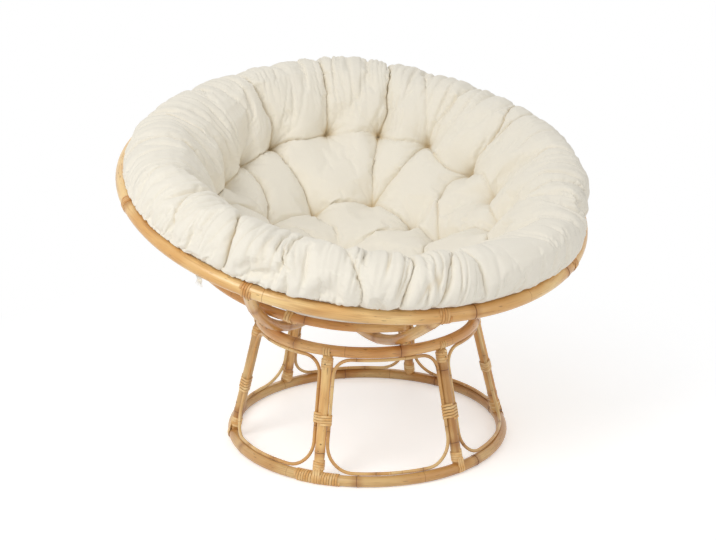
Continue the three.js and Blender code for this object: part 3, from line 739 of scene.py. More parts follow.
class PAPASAN_OT_legs(Operator):
    """Six leaning legs and the cane bent round the inside of each bay"""

    bl_idname = "papasan.legs"
    bl_label = "Legs and canes"

    def execute(self, context):
        settings, made = rattan(), materials()
        length = LEG_LENGTH - LEG_TRIM - LEG_TRIM
        for k, turn in enumerate(LEG_TURNS):
            share = (0.19, 0.78) if k % 3 == 1 else (0.19,)
            marks = np.array(share) * LEG_LENGTH - LEG_TRIM
            marks = marks + np.random.default_rng(40 + k).uniform(-0.006, 0.006, len(share))
            # Legs 2 and 6 take the copy that is darkened with painted shade, the other legs the honey copy
            finish = made["shaded_tan_varnish" if k in (1, 5) else "honey_varnish"]
            piece = pole(
                f"leg_pole_{k + 1}", leg_curve(turn, LEG_TRIM), length, LEG_RADIUS, marks, finish,
                settings, 50 + k,
            )
            finish_piece(piece, "stand", [f"leg_{k + 1}"])
            # The canes take the copy that is darkened with painted shade
            self.cane(k, turn + math.radians(30), settings, made["shaded_cane_varnish"])
        return {"FINISHED"}

    def cane(self, k, turn, settings, material, play=0.0043):
        """A cane on a rounded outline inside the bay between two legs, just clear of both rings."""
        low = FLOOR_RING[2] + play
        high = LEG_LENGTH - TOP_RING[2] - play

        def half(y):
            """Half of the bay's arc at a length up its slope, less the cane's distance from the leg."""
            radius = FLOOR_RING[0] + (TOP_RING[0] - FLOOR_RING[0]) * y / LEG_LENGTH
            return radius * math.pi / 6 - CANE_OFFSET

        corners = [(half(low), low), (half(high), high), (-half(high), high), (-half(low), low)]
        points, length_at = rounded_outline(corners, (0.055, 0.045, 0.045, 0.055))
        length = float(length_at[-1])

        def curve(s):
            x = np.interp(s, length_at, points[:, 0])
            y = np.interp(s, length_at, points[:, 1])
            out = azimuth(turn + x / 0.29) * math.cos(0.24) + UP * math.sin(0.24)
            return bay_point(turn, x, y), out

        piece = pole(
            f"bay_cane_{k + 1}", curve, length, CANE_RADIUS - 0.0001, growth_marks(length, 0.17, 60 + k),
            material, settings, 70 + k, closed=True,
        )
        finish_piece(piece, "stand", [f"cane_loop_{k + 1}"])


class PAPASAN_OT_stand_bindings(Operator):
    """Strip windings of the stand: round legs and canes, at each foot and head, and on the floor ring"""

    bl_idname = "papasan.stand_bindings"
    bl_label = "Stand bindings"

    def execute(self, context):
        settings, material = rattan(), materials()["peel_varnish"]
        for k, turn in enumerate(LEG_TURNS):
            self.middle(k, turn, settings, material)
            self.end(k, turn, False, settings, material)
            self.end(k, turn, True, settings, material)
        self.floor_wrap(settings, material)
        return {"FINISHED"}

    def middle(self, k, turn, settings, material):
        """Turns round a leg and the canes on both sides of it."""
        foot, _, axis, out, side = leg_frame(turn)
        leg_reach, cane_reach = 0.0121, 0.0044
        circles = np.array([[0, 0, leg_reach], [0, CANE_OFFSET, cane_reach], [0, -CANE_OFFSET, cane_reach]])
        rng = np.random.default_rng(80 + k)
        turns, pitch = (5, 0.0068) if k % 2 else (4, 0.0060)
        offset, direction = hull_turns(circles, turns, pitch)
        middle = 0.46 * LEG_LENGTH + rng.uniform(-0.003, 0.003) - turns * pitch / 2
        path = foot + offset[:, :1] * out + offset[:, 1:2] * side + (offset[:, 2:] + middle) * axis
        outward = direction[:, :1] * out + direction[:, 1:] * side
        piece = strand(f"leg_wrap_{k + 1}", path, outward, material, settings, 90 + k)
        finish_piece(piece, "stand", [f"leg_binding_{k + 1}"])

    def end(self, k, turn, head, settings, material):
        """Turns round the leg beside a ring, and three strips side by side over the ring's outer side.
        The first foot's strips also clear the winding of the floor ring."""
        foot, top, axis, out, side = leg_frame(turn)
        centre, away, thick = (top, -axis, TOP_RING[2]) if head else (foot, axis, FLOOR_RING[2])
        clear = 0.0019 if k == 0 and not head else STRIP_AIR
        name = "head" if head else "foot"
        hand = -1 if head else 1
        turns, pitch = 4, 0.0056
        angle = winding_angle(turns)
        along = thick + 0.0046 + (turns - angle / (2 * np.pi)) * pitch
        outward = np.cos(angle)[:, None] * out + (hand * np.sin(angle))[:, None] * side
        path = centre + outward * (LEG_RADIUS + 0.0004) + along[:, None] * away
        seed = 100 + 10 * k + head
        pieces = [strand(f"{name}_wrap_{k + 1}", path, outward, material, settings, seed)]
        bend = np.radians(np.linspace(-46, 42, 14) if head else np.linspace(44, -42, 14))
        for shift in (-0.0058, 0.0, 0.0058):
            over = ring_outward(turn + shift / FLOOR_RING[0], bend)
            beside = (azimuth(turn + shift / FLOOR_RING[0]) - azimuth(turn)) * FLOOR_RING[0]
            ring = centre + over * (thick + clear) + beside
            start = centre + out * (LEG_RADIUS + 0.0012) + side * shift * hand + away * (thick + 0.011)
            first = start + (ring[0] - start) * np.linspace(0, 0.8, 5)[:, None]
            path = np.concatenate([first, ring])
            outward = unit(np.concatenate([np.broadcast_to(out, (5, 3)), over]))
            pieces.append(strand(f"{name}_strap_{k + 1}", path, outward, material, settings, seed + 3))
        piece = joined(f"{name}_wrap_{k + 1}", pieces)
        finish_piece(piece, "stand", [f"{name}_binding_{k + 1}"])

    def floor_wrap(self, settings, material):
        """Turns round the floor ring, flattened below so that they clear the floor."""
        radius, height, thick = FLOOR_RING
        turns, pitch = 17, 0.0060
        angle = winding_angle(turns)
        turn = LEG_TURNS[0] + (angle / (2 * np.pi) - turns / 2) * pitch / radius
        across = (thick + STRIP_AIR) * np.cos(angle)
        up = np.maximum((thick + STRIP_AIR) * np.sin(angle), -height + 0.0020)
        path = STAND_AXIS + azimuth(turn) * (radius + across)[:, None] + UP * height
        path[:, 2] += up
        piece = strand("ring_wrap", path, ring_outward(turn, angle), material, settings, 130)
        finish_piece(piece, "stand", ["floor_ring_wrap"])


class PAPASAN_OT_bowl(Operator):
    """Rim, ribs and hoops of the bowl"""

    bl_idname = "papasan.bowl"
    bl_label = "Bowl poles"

    def execute(self, context):
        settings, made = rattan(), materials()
        self.rim(settings, made["pole_varnish"])
        for k, turn in enumerate(RIB_TURNS):
            # The ribs take the copy that is darkened with painted shade
            self.rib(k, turn, settings, made["shaded_rib_varnish"])
        # Piece, node, pole radius, polar angle, first and last turn in degrees, seed, growth ring distance
        arcs = (
            ("mid_hoop_pole", "mid_hoop", HOOP_RADIUS, MID_POLAR, -3, 314, 160, 0.24),
            ("splice_pole", "mid_hoop_splice", SPLICE_RADIUS, SPLICE_POLAR, -60, -9.5, 161, 0.22),
            ("low_hoop_pole", "low_hoop", HOOP_RADIUS, LOW_POLAR, 180, 540, 162, 0.2),
        )
        for name, node, thick, polar, first, last, seed, spacing in arcs:
            self.hoop(name, node, thick, polar, math.radians(first), math.radians(last), seed, spacing)
        return {"FINISHED"}

    def rim(self, settings, material):
        """The rim's circle, its growth rings where the photograph shows them."""
        radius, height, thick = RIM
        start = RIB_TURNS[6]
        known = np.radians([-3.5, -99.4, 29.1, 88, 131, 177, 214]) - start
        marks = np.sort(known % (2 * np.pi)) * radius
        piece = pole(
            "rim_pole", ring_curve(radius, height, start, RIM_SHIFT), 2 * np.pi * radius, thick, marks,
            material, settings, 31, closed=True, place=bowl_placed,
        )
        finish_piece(piece, "bowl", ["rim"])

    def rib(self, k, turn, settings, material):
        """A rib up the bowl's sphere, whose upper end leans forward with the rim. It is slimmer than
        its solid, so that its collars clear the top ring when the bowl tilts."""
        span = RIB_SPHERE * (RIM_POLAR - RIB_LOW_POLAR) - RIM[2] - 0.0012

        def curve(s):
            polar = RIB_LOW_POLAR + s / RIB_SPHERE
            point = sphere_point(RIB_SPHERE, polar, turn)
            return point + rib_lean(polar)[:, None] * RIM_SHIFT, unit(point)

        piece = pole(
            f"rib_pole_{k + 1}", curve, span, RIB_RADIUS - 0.0007, growth_marks(span, 0.24, 140 + k),
            material, settings, 150 + k, place=bowl_placed,
        )
        finish_piece(piece, "bowl", [f"rib_{k + 1}"])

    def hoop(self, name, node, thick, polar, first, last, seed, spacing):
        """A hoop that lies inside the ribs, at one polar angle on a smaller sphere."""
        radius = HOOP_SPHERE * math.sin(polar)
        length = radius * (last - first)

        def curve(s):
            point = sphere_point(HOOP_SPHERE, polar, first + s / radius)
            return point, unit(point)

        whole = abs(last - first - 2 * np.pi) < 1e-6
        # The hoops take the browner copy, darkened with painted shade
        piece = pole(
            name, curve, length, thick - 0.0001, growth_marks(length, spacing, seed),
            materials()["brown_shaded_varnish"], rattan(), seed + 10, closed=whole, place=bowl_placed,
        )
        finish_piece(piece, "bowl", [node])


class PAPASAN_OT_bowl_bindings(Operator):
    """Strip windings of the rim at each rib, and of the two hoops side by side"""

    bl_idname = "papasan.bowl_bindings"
    bl_label = "Bowl bindings"

    def execute(self, context):
        settings, made = rattan(), materials()
        for k, turn in enumerate(RIB_TURNS):
            self.rim_wrap(k, turn, settings, made["brown_peel"])
        self.hoop_wrap(settings, made["peel_varnish"])
        return {"FINISHED"}

    def rim_wrap(self, k, turn, settings, material, first=0.4):
        """Four turns round the rim over the end of a rib, from the first angle on."""
        radius, height, thick = RIM
        turns, pitch = 4, 0.0058
        angle = winding_angle(turns) + first
        at = turn + ((angle - first) / (2 * np.pi) - turns / 2) * pitch / radius
        reach = thick + STRIP_AIR
        path = azimuth(at) * (radius + reach * np.cos(angle))[:, None]
        path[:, 2] += height + reach * np.sin(angle)
        outward = ring_outward(at, angle)
        piece = strand(
            f"rim_wrap_{k + 1}", path + RIM_SHIFT, outward, material, settings, 170 + k, bowl_placed
        )
        finish_piece(piece, "bowl", [f"rim_binding_{k + 1}"])

    def hoop_wrap(self, settings, material):
        """Three turns round the middle hoop and its splice, drawn on the sphere that both lie on."""
        turns, pitch = 3, 0.0060
        polar = (MID_POLAR + SPLICE_POLAR) / 2
        half = (SPLICE_POLAR - MID_POLAR) / 2 * HOOP_SPHERE
        circles = np.array([[0, half, SPLICE_RADIUS + STRIP_AIR], [0, -half, HOOP_RADIUS + STRIP_AIR]])
        offset, direction = hull_turns(circles, turns, pitch)
        turn = math.radians(-48.6) + (offset[:, 2] - turns * pitch / 2) / (HOOP_SPHERE * math.sin(polar))
        down = sphere_point(1.0, polar, turn)
        along = sphere_point(1.0, polar + np.pi / 2, turn)
        path = down * (HOOP_SPHERE + offset[:, :1]) + along * offset[:, 1:2]
        outward = down * direction[:, :1] + along * direction[:, 1:]
        piece = strand("hoop_wrap", path, outward, material, settings, 181, bowl_placed)
        finish_piece(piece, "bowl", ["mid_hoop_binding"])


# Cushion

# Spheres of the hollow and of the underside, how far across the roll goes, where the seam's fold runs
# round the rim, and the way in which the roll has slid
HOLLOW_SPHERE = 0.474
UNDER_SPHERE = 0.5788
ROLL_WIDTH = 0.120
SEAM_REACH = 0.0225
SLIDE_WAY = math.radians(57)

# Height of the stars of pleats at the tufts, how much of the gathers is put on after the simulation,
# the share of the slack that the hollow has, how far the stuffing may move the cloth, in how many
# frames, and the rings in which its swelling is taken back
STAR_HEIGHT = 0.0062
GATHERS_AFTER = 0.2
HOLLOW_SLACK = 0.6
MOST_MOVE = 0.026
FRAMES = 20
RINGS = 40


def periodic_noise(turn, height, around, rows, seed):
    """Smooth noise from -1 to 1: random numbers on a grid that closes round the turn."""
    rng = np.random.default_rng(seed)
    grid = rng.uniform(-1, 1, (around, rows + 3))
    u = (turn / (2 * np.pi) % 1) * around
    v = np.clip(height, 0, 1) * rows
    i, j = np.floor(u).astype(int), np.floor(v).astype(int)
    a, b = u - i, v - j
    a, b = a * a * (3 - 2 * a), b * b * (3 - 2 * b)
    i2 = (i + 1) % around
    i = i % around
    low = grid[i, j] * (1 - a) + grid[i2, j] * a
    high = grid[i, j + 1] * (1 - a) + grid[i2, j + 1] * a
    return low * (1 - b) + high * b


def disc_grid(cells):
    """Square grid of points drawn out to a unit disc: x = u sqrt(1 - v^2/2), y = v sqrt(1 - u^2/2)."""
    t = np.linspace(-1, 1, cells + 1)
    u, v = np.meshgrid(t, t, indexing="ij")
    return u * np.sqrt(1 - v * v / 2), v * np.sqrt(1 - u * u / 2)


def profile_at(points, share):
    """Point, lean, slide and tangent of a smoothed profile at shares of its length, and its length.
    It is smoothed by a running mean, weighted towards the middle, of 25 of its 600 steps."""
    points = np.asarray(points, float)
    s = length_along(points[:, :2])
    fine = np.linspace(0, s[-1], 600)
    curve = np.stack([np.interp(fine, s, column) for column in points.T], -1)
    kernel = np.hanning(25)
    kernel /= kernel.sum()
    padded = np.concatenate([2 * curve[0] - curve[12:0:-1], curve, 2 * curve[-1] - curve[-2:-14:-1]])
    curve = np.stack([np.convolve(column, kernel, "valid") for column in padded.T], -1)
    tangent = unit(np.gradient(curve[:, :2], axis=0))
    at = share * (len(fine) - 1)
    return [np.interp(at, np.arange(len(fine)), a) for a in (*curve.T, *tangent.T)], s[-1]


def smooth_step(x, low, high):
    """0 below low, 1 above high, and 3 t^2 - 2 t^3 between them."""
    t = np.clip((x - low) / (high - low), 0, 1)
    return t * t * (3 - 2 * t)


def rim_points(degrees, reach):
    """Points round the rim's centre line, with the whole of its shift."""
    angle = np.radians(degrees)
    rho = RIM[0] + reach * np.cos(angle)
    z = RIM[1] + reach * np.sin(angle)
    return np.stack([rho, z, np.ones_like(rho), np.zeros_like(rho)], -1)


def top_profile(settings):
    """From the middle of the seat, up the hollow, over the edge roll and down behind the rim."""
    polar = np.radians(np.linspace(0, 55.5, 24))
    lean = smooth_step(polar, math.radians(25), RIM_POLAR)
    slide = smooth_step(polar, math.radians(34), math.radians(56))
    hollow = np.stack([HOLLOW_SPHERE * np.sin(polar), -HOLLOW_SPHERE * np.cos(polar), lean, slide], -1)
    # Across in roll widths, up in roll heights, and the share of the slide
    shares = np.array([
        [-0.87, 0.69, 1.0], [-0.70, 0.88, 1.0], [-0.46, 0.985, 1.0], [-0.18, 0.95, 1.0],
        [0.035, 0.80, 1.0], [0.135, 0.58, 1.0], [0.14, 0.36, 0.8],
    ])
    across = RIM[0] + shares[:, 0] * ROLL_WIDTH
    up = RIM[1] + shares[:, 1] * settings.roll
    roll = np.stack([across, up, np.ones(len(shares)), shares[:, 2]], -1)
    return np.concatenate([hollow, roll, rim_points([83, 123, 165], SEAM_REACH)])


def under_profile():
    """From the middle of the underside up along the hoops and ribs to the rim."""
    polar = np.radians([0, 7, 14.4, 24, 34, 42.5])
    under = np.stack([UNDER_SPHERE * np.sin(polar), -UNDER_SPHERE * np.cos(polar), 0 * polar, 0 * polar], -1)
    side = np.radians([49, 55.3])
    reach = np.array([0.5880, 0.5980])
    wall = np.stack([reach * np.sin(side), -reach * np.cos(side), rib_lean(side), 0 * side], -1)
    return np.concatenate([under, wall, rim_points([187, 165], SEAM_REACH)])


# Where the tufts are on the cloth laid flat: distance from its middle and turn in degrees
OUTER_TUFTS = np.array([
    (0.368, -177.0), (0.350, -158.9), (0.322, -141.5), (0.345, -118.0), (0.372, -94.0), (0.382, -70.0),
    (0.375, -45.5), (0.385, -21.0), (0.378, 3.0), (0.386, 27.5), (0.380, 51.0), (0.384, 75.0),
    (0.390, 97.1), (0.404, 120.0), (0.394, 139.7), (0.392, 158.7),
])
INNER_TUFTS = np.array([
    (0.172, -139.0), (0.180, -88.0), (0.196, -36.0), (0.200, 18.0), (0.228, 66.0), (0.196, 89.5),
    (0.208, 128.0), (0.160, 170.5),
])


def round_the_edge(values, turn):
    """Smooth closed curve through values at equal turns from -180 degrees: a sum of waves."""
    waves = np.fft.rfft(values) / len(values)
    total = np.full(np.shape(turn), waves[0].real)
    for k in range(1, len(values) // 2):
        total += 2 * (waves[k] * np.exp(1j * k * (turn + np.pi))).real
    return total


def flat_point(reach, turn):
    """Place on the cloth laid flat: reach from its middle, along the turn."""
    return np.stack([reach * np.sin(turn), -reach * np.cos(turn)], -1)


def flat_places(table):
    """Places on the flat cloth from a table of reach and turn in degrees."""
    table = np.asarray(table, float)
    return flat_point(table[:, 0], np.radians(table[:, 1]))


# The edge roll at sixteen equal turns from -180 degrees: how far it is drawn in and how far it sinks
EDGE_IN = (
    0.015, 0.024, 0.026, 0.022, 0.012, 0.004, 0, 0,
    0.003, 0.010, 0.020, 0.021, 0.012, 0.008, 0.004, 0.005,
)
EDGE_DOWN = (
    0.022, 0.031, 0.027, 0.015, 0.007, 0.001, 0, 0,
    0, 0, 0, -0.001, 0.002, 0.004, 0.005, 0.007,
)

# Folds: how strong, how wide, and the places they run through on the flat cloth (metres, degrees)
FOLDS = (
    (1.00, 0.9, (
        (0.368, -177), (0.425, -175.6), (0.472, -174.5), (0.515, -173.3), (0.577, -172), (0.67, -171),
    )),
    (0.85, 1.0, ((0.368, -177), (0.345, -167.5), (0.339, -161), (0.350, -158.9))),
    (0.80, 1.0, ((0.350, -158.9), (0.326, -151), (0.318, -146), (0.322, -141.5))),
    (0.90, 0.8, ((0.368, -177), (0.315, -178.6), (0.260, 179), (0.210, 174), (0.160, 170.5))),
    (0.90, 0.8, ((0.350, -158.9), (0.290, -157.5), (0.241, -155.5), (0.205, -148), (0.172, -139))),
    (0.85, 0.8, ((0.368, -177), (0.369, 177.8), (0.365, 169.8), (0.392, 158.7))),
    (0.80, 0.7, ((0.392, 158.7), (0.440, 161), (0.500, 162), (0.570, 163), (0.64, 164))),
    (0.45, 1.6, ((0.350, -158.9), (0.390, -160), (0.430, -162.8), (0.480, -163.6), (0.53, -161.8))),
    (0.55, 1.5, ((0.322, -141.5), (0.370, -143), (0.430, -141), (0.49, -139))),
    (0.80, 0.9, ((0.160, 170.5), (0.168, 159), (0.184, 143.6), (0.208, 128))),
    (0.80, 0.9, ((0.172, -139), (0.152, -156), (0.147, -174.7), (0.160, 170.5))),
    (0.45, 1.0, ((0.160, 170.5), (0.125, 169), (0.067, 160), (0.0, 0))),
    (1.00, 0.9, ((0.700, -63), (0.654, -63.6), (0.611, -64.5), (0.55, -67), (0.47, -69), (0.382, -70))),
    (0.60, 1.1, ((0.690, -80), (0.646, -81.8), (0.617, -82.6), (0.55, -84))),
    (1.00, 0.9, ((0.394, 139.7), (0.436, 139), (0.493, 139.9), (0.56, 141), (0.64, 142), (0.70, 142.5))),
    (0.75, 0.9, ((0.394, 139.7), (0.340, 137), (0.270, 134), (0.208, 128))),
    (0.85, 0.8, ((0.404, 120), (0.355, 121), (0.288, 122), (0.240, 124), (0.208, 128))),
    (0.80, 1.0, ((0.404, 120), (0.375, 111), (0.366, 102), (0.390, 97.1))),
    (0.90, 1.0, ((0.390, 97.1), (0.454, 96.2), (0.511, 97), (0.584, 100.5), (0.67, 102))),
    (0.70, 1.2, ((0.470, 95.5), (0.530, 94.5), (0.60, 93.5))),
    (0.80, 0.9, ((0.390, 97.1), (0.345, 98), (0.290, 92), (0.255, 79), (0.228, 66))),
    (0.50, 1.0, ((0.404, 120), (0.450, 123), (0.512, 126.5), (0.594, 130))),
    (0.55, 0.9, ((0.404, 120), (0.466, 119.8), (0.530, 117), (0.62, 114.5))),
    (0.75, 0.9, ((0.208, 128), (0.188, 112), (0.190, 100), (0.196, 89.5))),
    (0.60, 0.9, ((0.196, 89.5), (0.205, 78), (0.228, 66))),
    (0.50, 1.5, ((0.390, 97.1), (0.394, 86), (0.384, 75))),
    (0.45, 1.4, ((0.394, 139.7), (0.385, 131), (0.404, 120))),
    (0.50, 1.3, ((0.392, 158.7), (0.380, 149), (0.394, 139.7))),
    (0.85, 0.7, ((0.735, -21.5), (0.690, -22.5), (0.640, -22.4), (0.590, -20.6), (0.50, -21), (0.385, -21))),
    (0.70, 0.8, ((0.735, -14), (0.677, -13.8), (0.622, -12.6), (0.56, -9), (0.47, -3), (0.378, 3))),
    (0.45, 0.8, ((0.735, -4), (0.677, -3.9), (0.619, -4.9), (0.57, -6))),
    (0.60, 0.8, ((0.735, -31), (0.690, -31.4), (0.631, -32.8), (0.57, -36), (0.48, -43), (0.375, -45.5))),
    (0.40, 1.0, ((0.720, 33), (0.66, 32), (0.59, 30), (0.50, 28), (0.386, 27.5))),
    (0.50, 1.0, ((0.715, 57), (0.65, 56), (0.57, 54), (0.47, 52), (0.380, 51))),
    (0.55, 1.2, ((0.384, 75), (0.45, 75), (0.53, 74), (0.62, 72))),
    (0.80, 0.9, ((0.345, -118), (0.42, -119), (0.50, -119), (0.60, -118), (0.69, -117))),
    (0.50, 1.0, ((0.372, -94), (0.44, -94), (0.52, -96), (0.62, -98))),
    (0.75, 1.0, ((0.322, -141.5), (0.326, -129), (0.345, -118), (0.35, -106), (0.372, -94))),
    (0.75, 1.0, ((0.372, -94), (0.368, -82), (0.382, -70), (0.37, -58), (0.375, -45.5))),
    (0.75, 1.0, ((0.375, -45.5), (0.372, -33), (0.385, -21), (0.372, -9), (0.378, 3))),
    (0.75, 1.0, ((0.378, 3), (0.372, 15), (0.386, 27.5), (0.374, 39), (0.380, 51))),
    (0.70, 1.0, ((0.380, 51), (0.374, 63), (0.384, 75))),
    (0.80, 0.9, ((0.345, -118), (0.28, -124), (0.22, -133), (0.172, -139))),
    (0.75, 0.9, ((0.372, -94), (0.30, -92), (0.24, -89), (0.180, -88))),
    (0.75, 0.9, ((0.382, -70), (0.31, -74), (0.24, -80), (0.180, -88))),
    (0.75, 0.9, ((0.375, -45.5), (0.31, -44), (0.25, -39), (0.196, -36))),
    (0.75, 0.9, ((0.385, -21), (0.32, -25), (0.25, -31), (0.196, -36))),
    (0.75, 0.9, ((0.378, 3), (0.31, 7), (0.25, 13), (0.200, 18))),
    (0.75, 0.9, ((0.386, 27.5), (0.32, 25), (0.25, 21), (0.200, 18))),
    (0.75, 0.9, ((0.380, 51), (0.32, 56), (0.27, 61), (0.228, 66))),
    (0.70, 0.9, ((0.172, -139), (0.165, -114), (0.180, -88), (0.175, -62), (0.196, -36))),
    (0.70, 0.9, ((0.196, -36), (0.185, -9), (0.200, 18), (0.198, 42), (0.228, 66))),
    (0.35, 1.0, ((0.172, -139), (0.10, -140), (0.0, 0))),
    (0.35, 1.0, ((0.196, -36), (0.11, -34), (0.0, 0))),
    (0.35, 1.0, ((0.196, 89.5), (0.10, 92), (0.0, 0))),
)


def fold_path(places):
    """Points every 12 mm along a fold's places, each drawn halfway to the middle of its neighbours."""
    corners = flat_places(places)
    s = length_along(corners)
    fine = np.linspace(0, s[-1], max(8, int(s[-1] / 0.012)))
    path = np.stack([np.interp(fine, s, column) for column in corners.T], -1)
    inside = path[1:-1] + (path[2:] + path[:-2] - 2 * path[1:-1]) * 0.25
    return np.concatenate([path[:1], inside, path[-1:]])


def fold_fields(q, pillow_width=0.050, line_width=0.0032):
    """How near each place of the flat cloth is to a fold: the height left of the pillows (1 between
    the folds, and a quarter circle down to a fold) and the sharp line along each fold."""
    pillow = np.ones(q.shape[:-1])
    line = np.zeros(q.shape[:-1])
    for strength, width, places in FOLDS:
        path = fold_path(places)
        low, high = path.min(0) - 0.07, path.max(0) + 0.07
        near = np.nonzero(((q > low) & (q < high)).all(-1))
        d = np.full(len(near[0]), 1.0)
        for start, end in zip(path[:-1], path[1:]):
            way = end - start
            t = np.clip(((q[near] - start) @ way) / (way @ way), 0, 1)
            d = np.minimum(d, np.linalg.norm(q[near] - start - t[:, None] * way, axis=-1))
        shoulder = np.sqrt(np.clip(1 - (1 - np.clip(d / (pillow_width * width), 0, 1)) ** 2, 0, 1))
        pillow[near] = np.minimum(pillow[near], 1 - strength * (1 - shoulder))
        line[near] = np.maximum(line[near], strength ** 2 * np.exp(-((d / (line_width * width)) ** 2)))
    return pillow, line


def tuft_fields(q, cone_width=0.026, star_width=0.019, stitch=0.0075):
    """Depth of the cone at each tuft, the star of small pleats round it, and 1 where it is stitched."""
    tufts = np.concatenate([flat_places(OUTER_TUFTS), flat_places(INNER_TUFTS), np.zeros((1, 2))])
    cone, star, pinned = (np.zeros(q.shape[:-1]) for _ in range(3))
    for k, tuft in enumerate(tufts):
        way = q - tuft
        d = np.linalg.norm(way, axis=-1)
        depth = 1.0 if k < len(OUTER_TUFTS) else 0.8
        cone = np.maximum(cone, depth * np.exp(-((d / cone_width) ** 1.1)))
        around = np.arctan2(way[..., 1], way[..., 0])
        waver = np.sin(2 * around + k)
        pleat = 0.3 - (1 - np.abs(np.sin(4.5 * around + 2.3 * k + 0.8 * waver))) ** 1.5
        near = 0.6 + 0.4 * np.cos(around + 1.7 * k)
        star += pleat * near * (d / star_width) * np.exp(1 - d / star_width)
        pinned = np.maximum(pinned, d < stitch)
    return cone, star, pinned


def gathers(turn, share):
    """Gathers of the roll: ridges that run out over it, drawn together in places and dying out
    towards the hollow, with a few that reach further in."""
    warp = 0.06 * periodic_noise(turn, share, 18, 4, 8) + 0.010 * periodic_noise(turn, share, 60, 10, 11)
    broad = periodic_noise(turn + warp, share, 100, 4, 9)
    fine = periodic_noise(turn + warp * 1.2, share, 170, 5, 10)
    valleys = 1 - np.clip(np.abs(broad) * 2.6, 0, 1)
    small = 1 - np.clip(np.abs(fine) * 2.2, 0, 1)
    where = np.clip(0.8 + 0.7 * periodic_noise(turn, share, 13, 4, 12), 0.35, 1)
    start = 0.47 + 0.12 * periodic_noise(turn, share, 34, 1, 14)
    fade = smooth_step(share, start, start + 0.20)
    return (0.4 - valleys ** 1.3 - 0.45 * small) * where * fade


def pleats(turn, share):
    """Fine pleats of the roll: sharp small valleys with rounded cloth between them, drawn together
    in places and deepest in front. Gives their height and how near each place is to a valley."""
    warp = 0.07 * periodic_noise(turn, share, 16, 4, 31) + 0.012 * periodic_noise(turn, share, 50, 8, 32)
    fine = periodic_noise(turn + warp, share, 270, 4, 33)
    finer_still = periodic_noise(turn + 0.6 * warp, share, 430, 6, 34)
    valleys = (1 - np.clip(np.abs(fine) * 2.2, 0, 1)) ** 1.2
    where = np.clip(0.65 + 1.0 * periodic_noise(turn, share, 26, 6, 35), 0.12, 1)
    where = where * (1 + 0.7 * np.clip(np.cos(turn + math.radians(15)), 0, 1) ** 2)
    start = 0.50 + 0.10 * periodic_noise(turn, share, 40, 1, 36)
    fade = smooth_step(share, start, start + 0.16) * (1 - 0.4 * smooth_step(share, 0.86, 0.95))
    return (0.0006 - 0.0032 * valleys + 0.0007 * finer_still) * where * fade, valleys * where * fade


def grid_faces(index):
    """Faces of a grid of point numbers, each square from its first corner on along the rows."""
    corners = (index[:-1, :-1], index[1:, :-1], index[1:, 1:], index[:-1, 1:])
    return np.stack(corners, -1).reshape(-1, 4)


def stuffed(points, faces, held, snug, settings):
    """Where the cloth goes when it is stuffed: Blender's cloth under pressure for 20 frames, a
    little too large for its shape so that it wrinkles, held at the seam and at the tufts. It is
    least too large where snug is 1. No point moves further than the most that it may."""
    mesh = bpy.data.meshes.new("stuffing")
    mesh.from_pydata(points.tolist(), [], faces.tolist())
    mesh.update()
    cloth = bpy.data.objects.new("stuffing", mesh)
    scene = bpy.context.scene
    scene.collection.objects.link(cloth)
    group = cloth.vertex_groups.new(name="held")
    group.add(np.nonzero(held)[0].tolist(), 1.0, "REPLACE")
    tight = cloth.vertex_groups.new(name="snug")
    for level in range(1, 9):
        tight.add(np.nonzero(np.round(snug * 8) == level)[0].tolist(), level / 8, "REPLACE")
    modifier = cloth.modifiers.new("Cloth", "CLOTH")
    sim = modifier.settings
    sim.quality = 5
    sim.mass = 0.15
    sim.tension_stiffness = 12
    sim.compression_stiffness = 12
    sim.shear_stiffness = 4
    sim.bending_stiffness = settings.stiffness
    sim.use_pressure = True
    sim.uniform_pressure_force = settings.pressure
    sim.shrink_min = -settings.slack
    sim.shrink_max = -settings.slack * HOLLOW_SLACK
    sim.vertex_group_shrink = "snug"
    sim.vertex_group_mass = "held"
    sim.effector_weights.gravity = 0
    modifier.collision_settings.use_collision = False
    modifier.point_cache.frame_start = 1
    modifier.point_cache.frame_end = FRAMES
    for step in range(1, FRAMES + 1):
        scene.frame_set(step)
    made = cloth.evaluated_get(bpy.context.evaluated_depsgraph_get())
    found = np.empty(len(points) * 3)
    made.data.vertices.foreach_get("co", found)
    scene.frame_set(1)
    bpy.data.objects.remove(cloth)
    bpy.data.meshes.remove(mesh)
    moved = found.reshape(-1, 3) - points
    far = np.linalg.norm(moved, axis=-1, keepdims=True)
    return moved * np.minimum(1, MOST_MOVE / np.maximum(far, 1e-9))


def cubic_shares(t):
    """What each of four values in a row gives to the curve through them, at a part t of the way from
    the second to the third: cubes of t that run on smoothly from one step to the next."""
    return (
        -0.5 * t + t ** 2 - 0.5 * t ** 3,
        1 - 2.5 * t ** 2 + 1.5 * t ** 3,
        0.5 * t + 2 * t ** 2 - 1.5 * t ** 3,
        -0.5 * t ** 2 + 0.5 * t ** 3,
    )


def finer(field, count):
    """A field on a square grid, read on a finer grid by cubic steps, along one axis and then the other."""
    old = np.linspace(0, 1, field.shape[0])
    new = np.linspace(0, 1, count)
    at = np.clip(np.searchsorted(old, new, side="right") - 1, 0, len(old) - 2)
    part = (new - old[at]) / (old[1] - old[0])
    rows = (np.maximum(at - 1, 0), at, at + 1, np.minimum(at + 2, len(old) - 1))
    for axis in (0, 1):
        shape = [-1 if k == axis else 1 for k in range(field.ndim)]
        pairs = zip(rows, cubic_shares(part))
        field = sum(np.take(field, row, axis) * portion.reshape(shape) for row, portion in pairs)
    return field


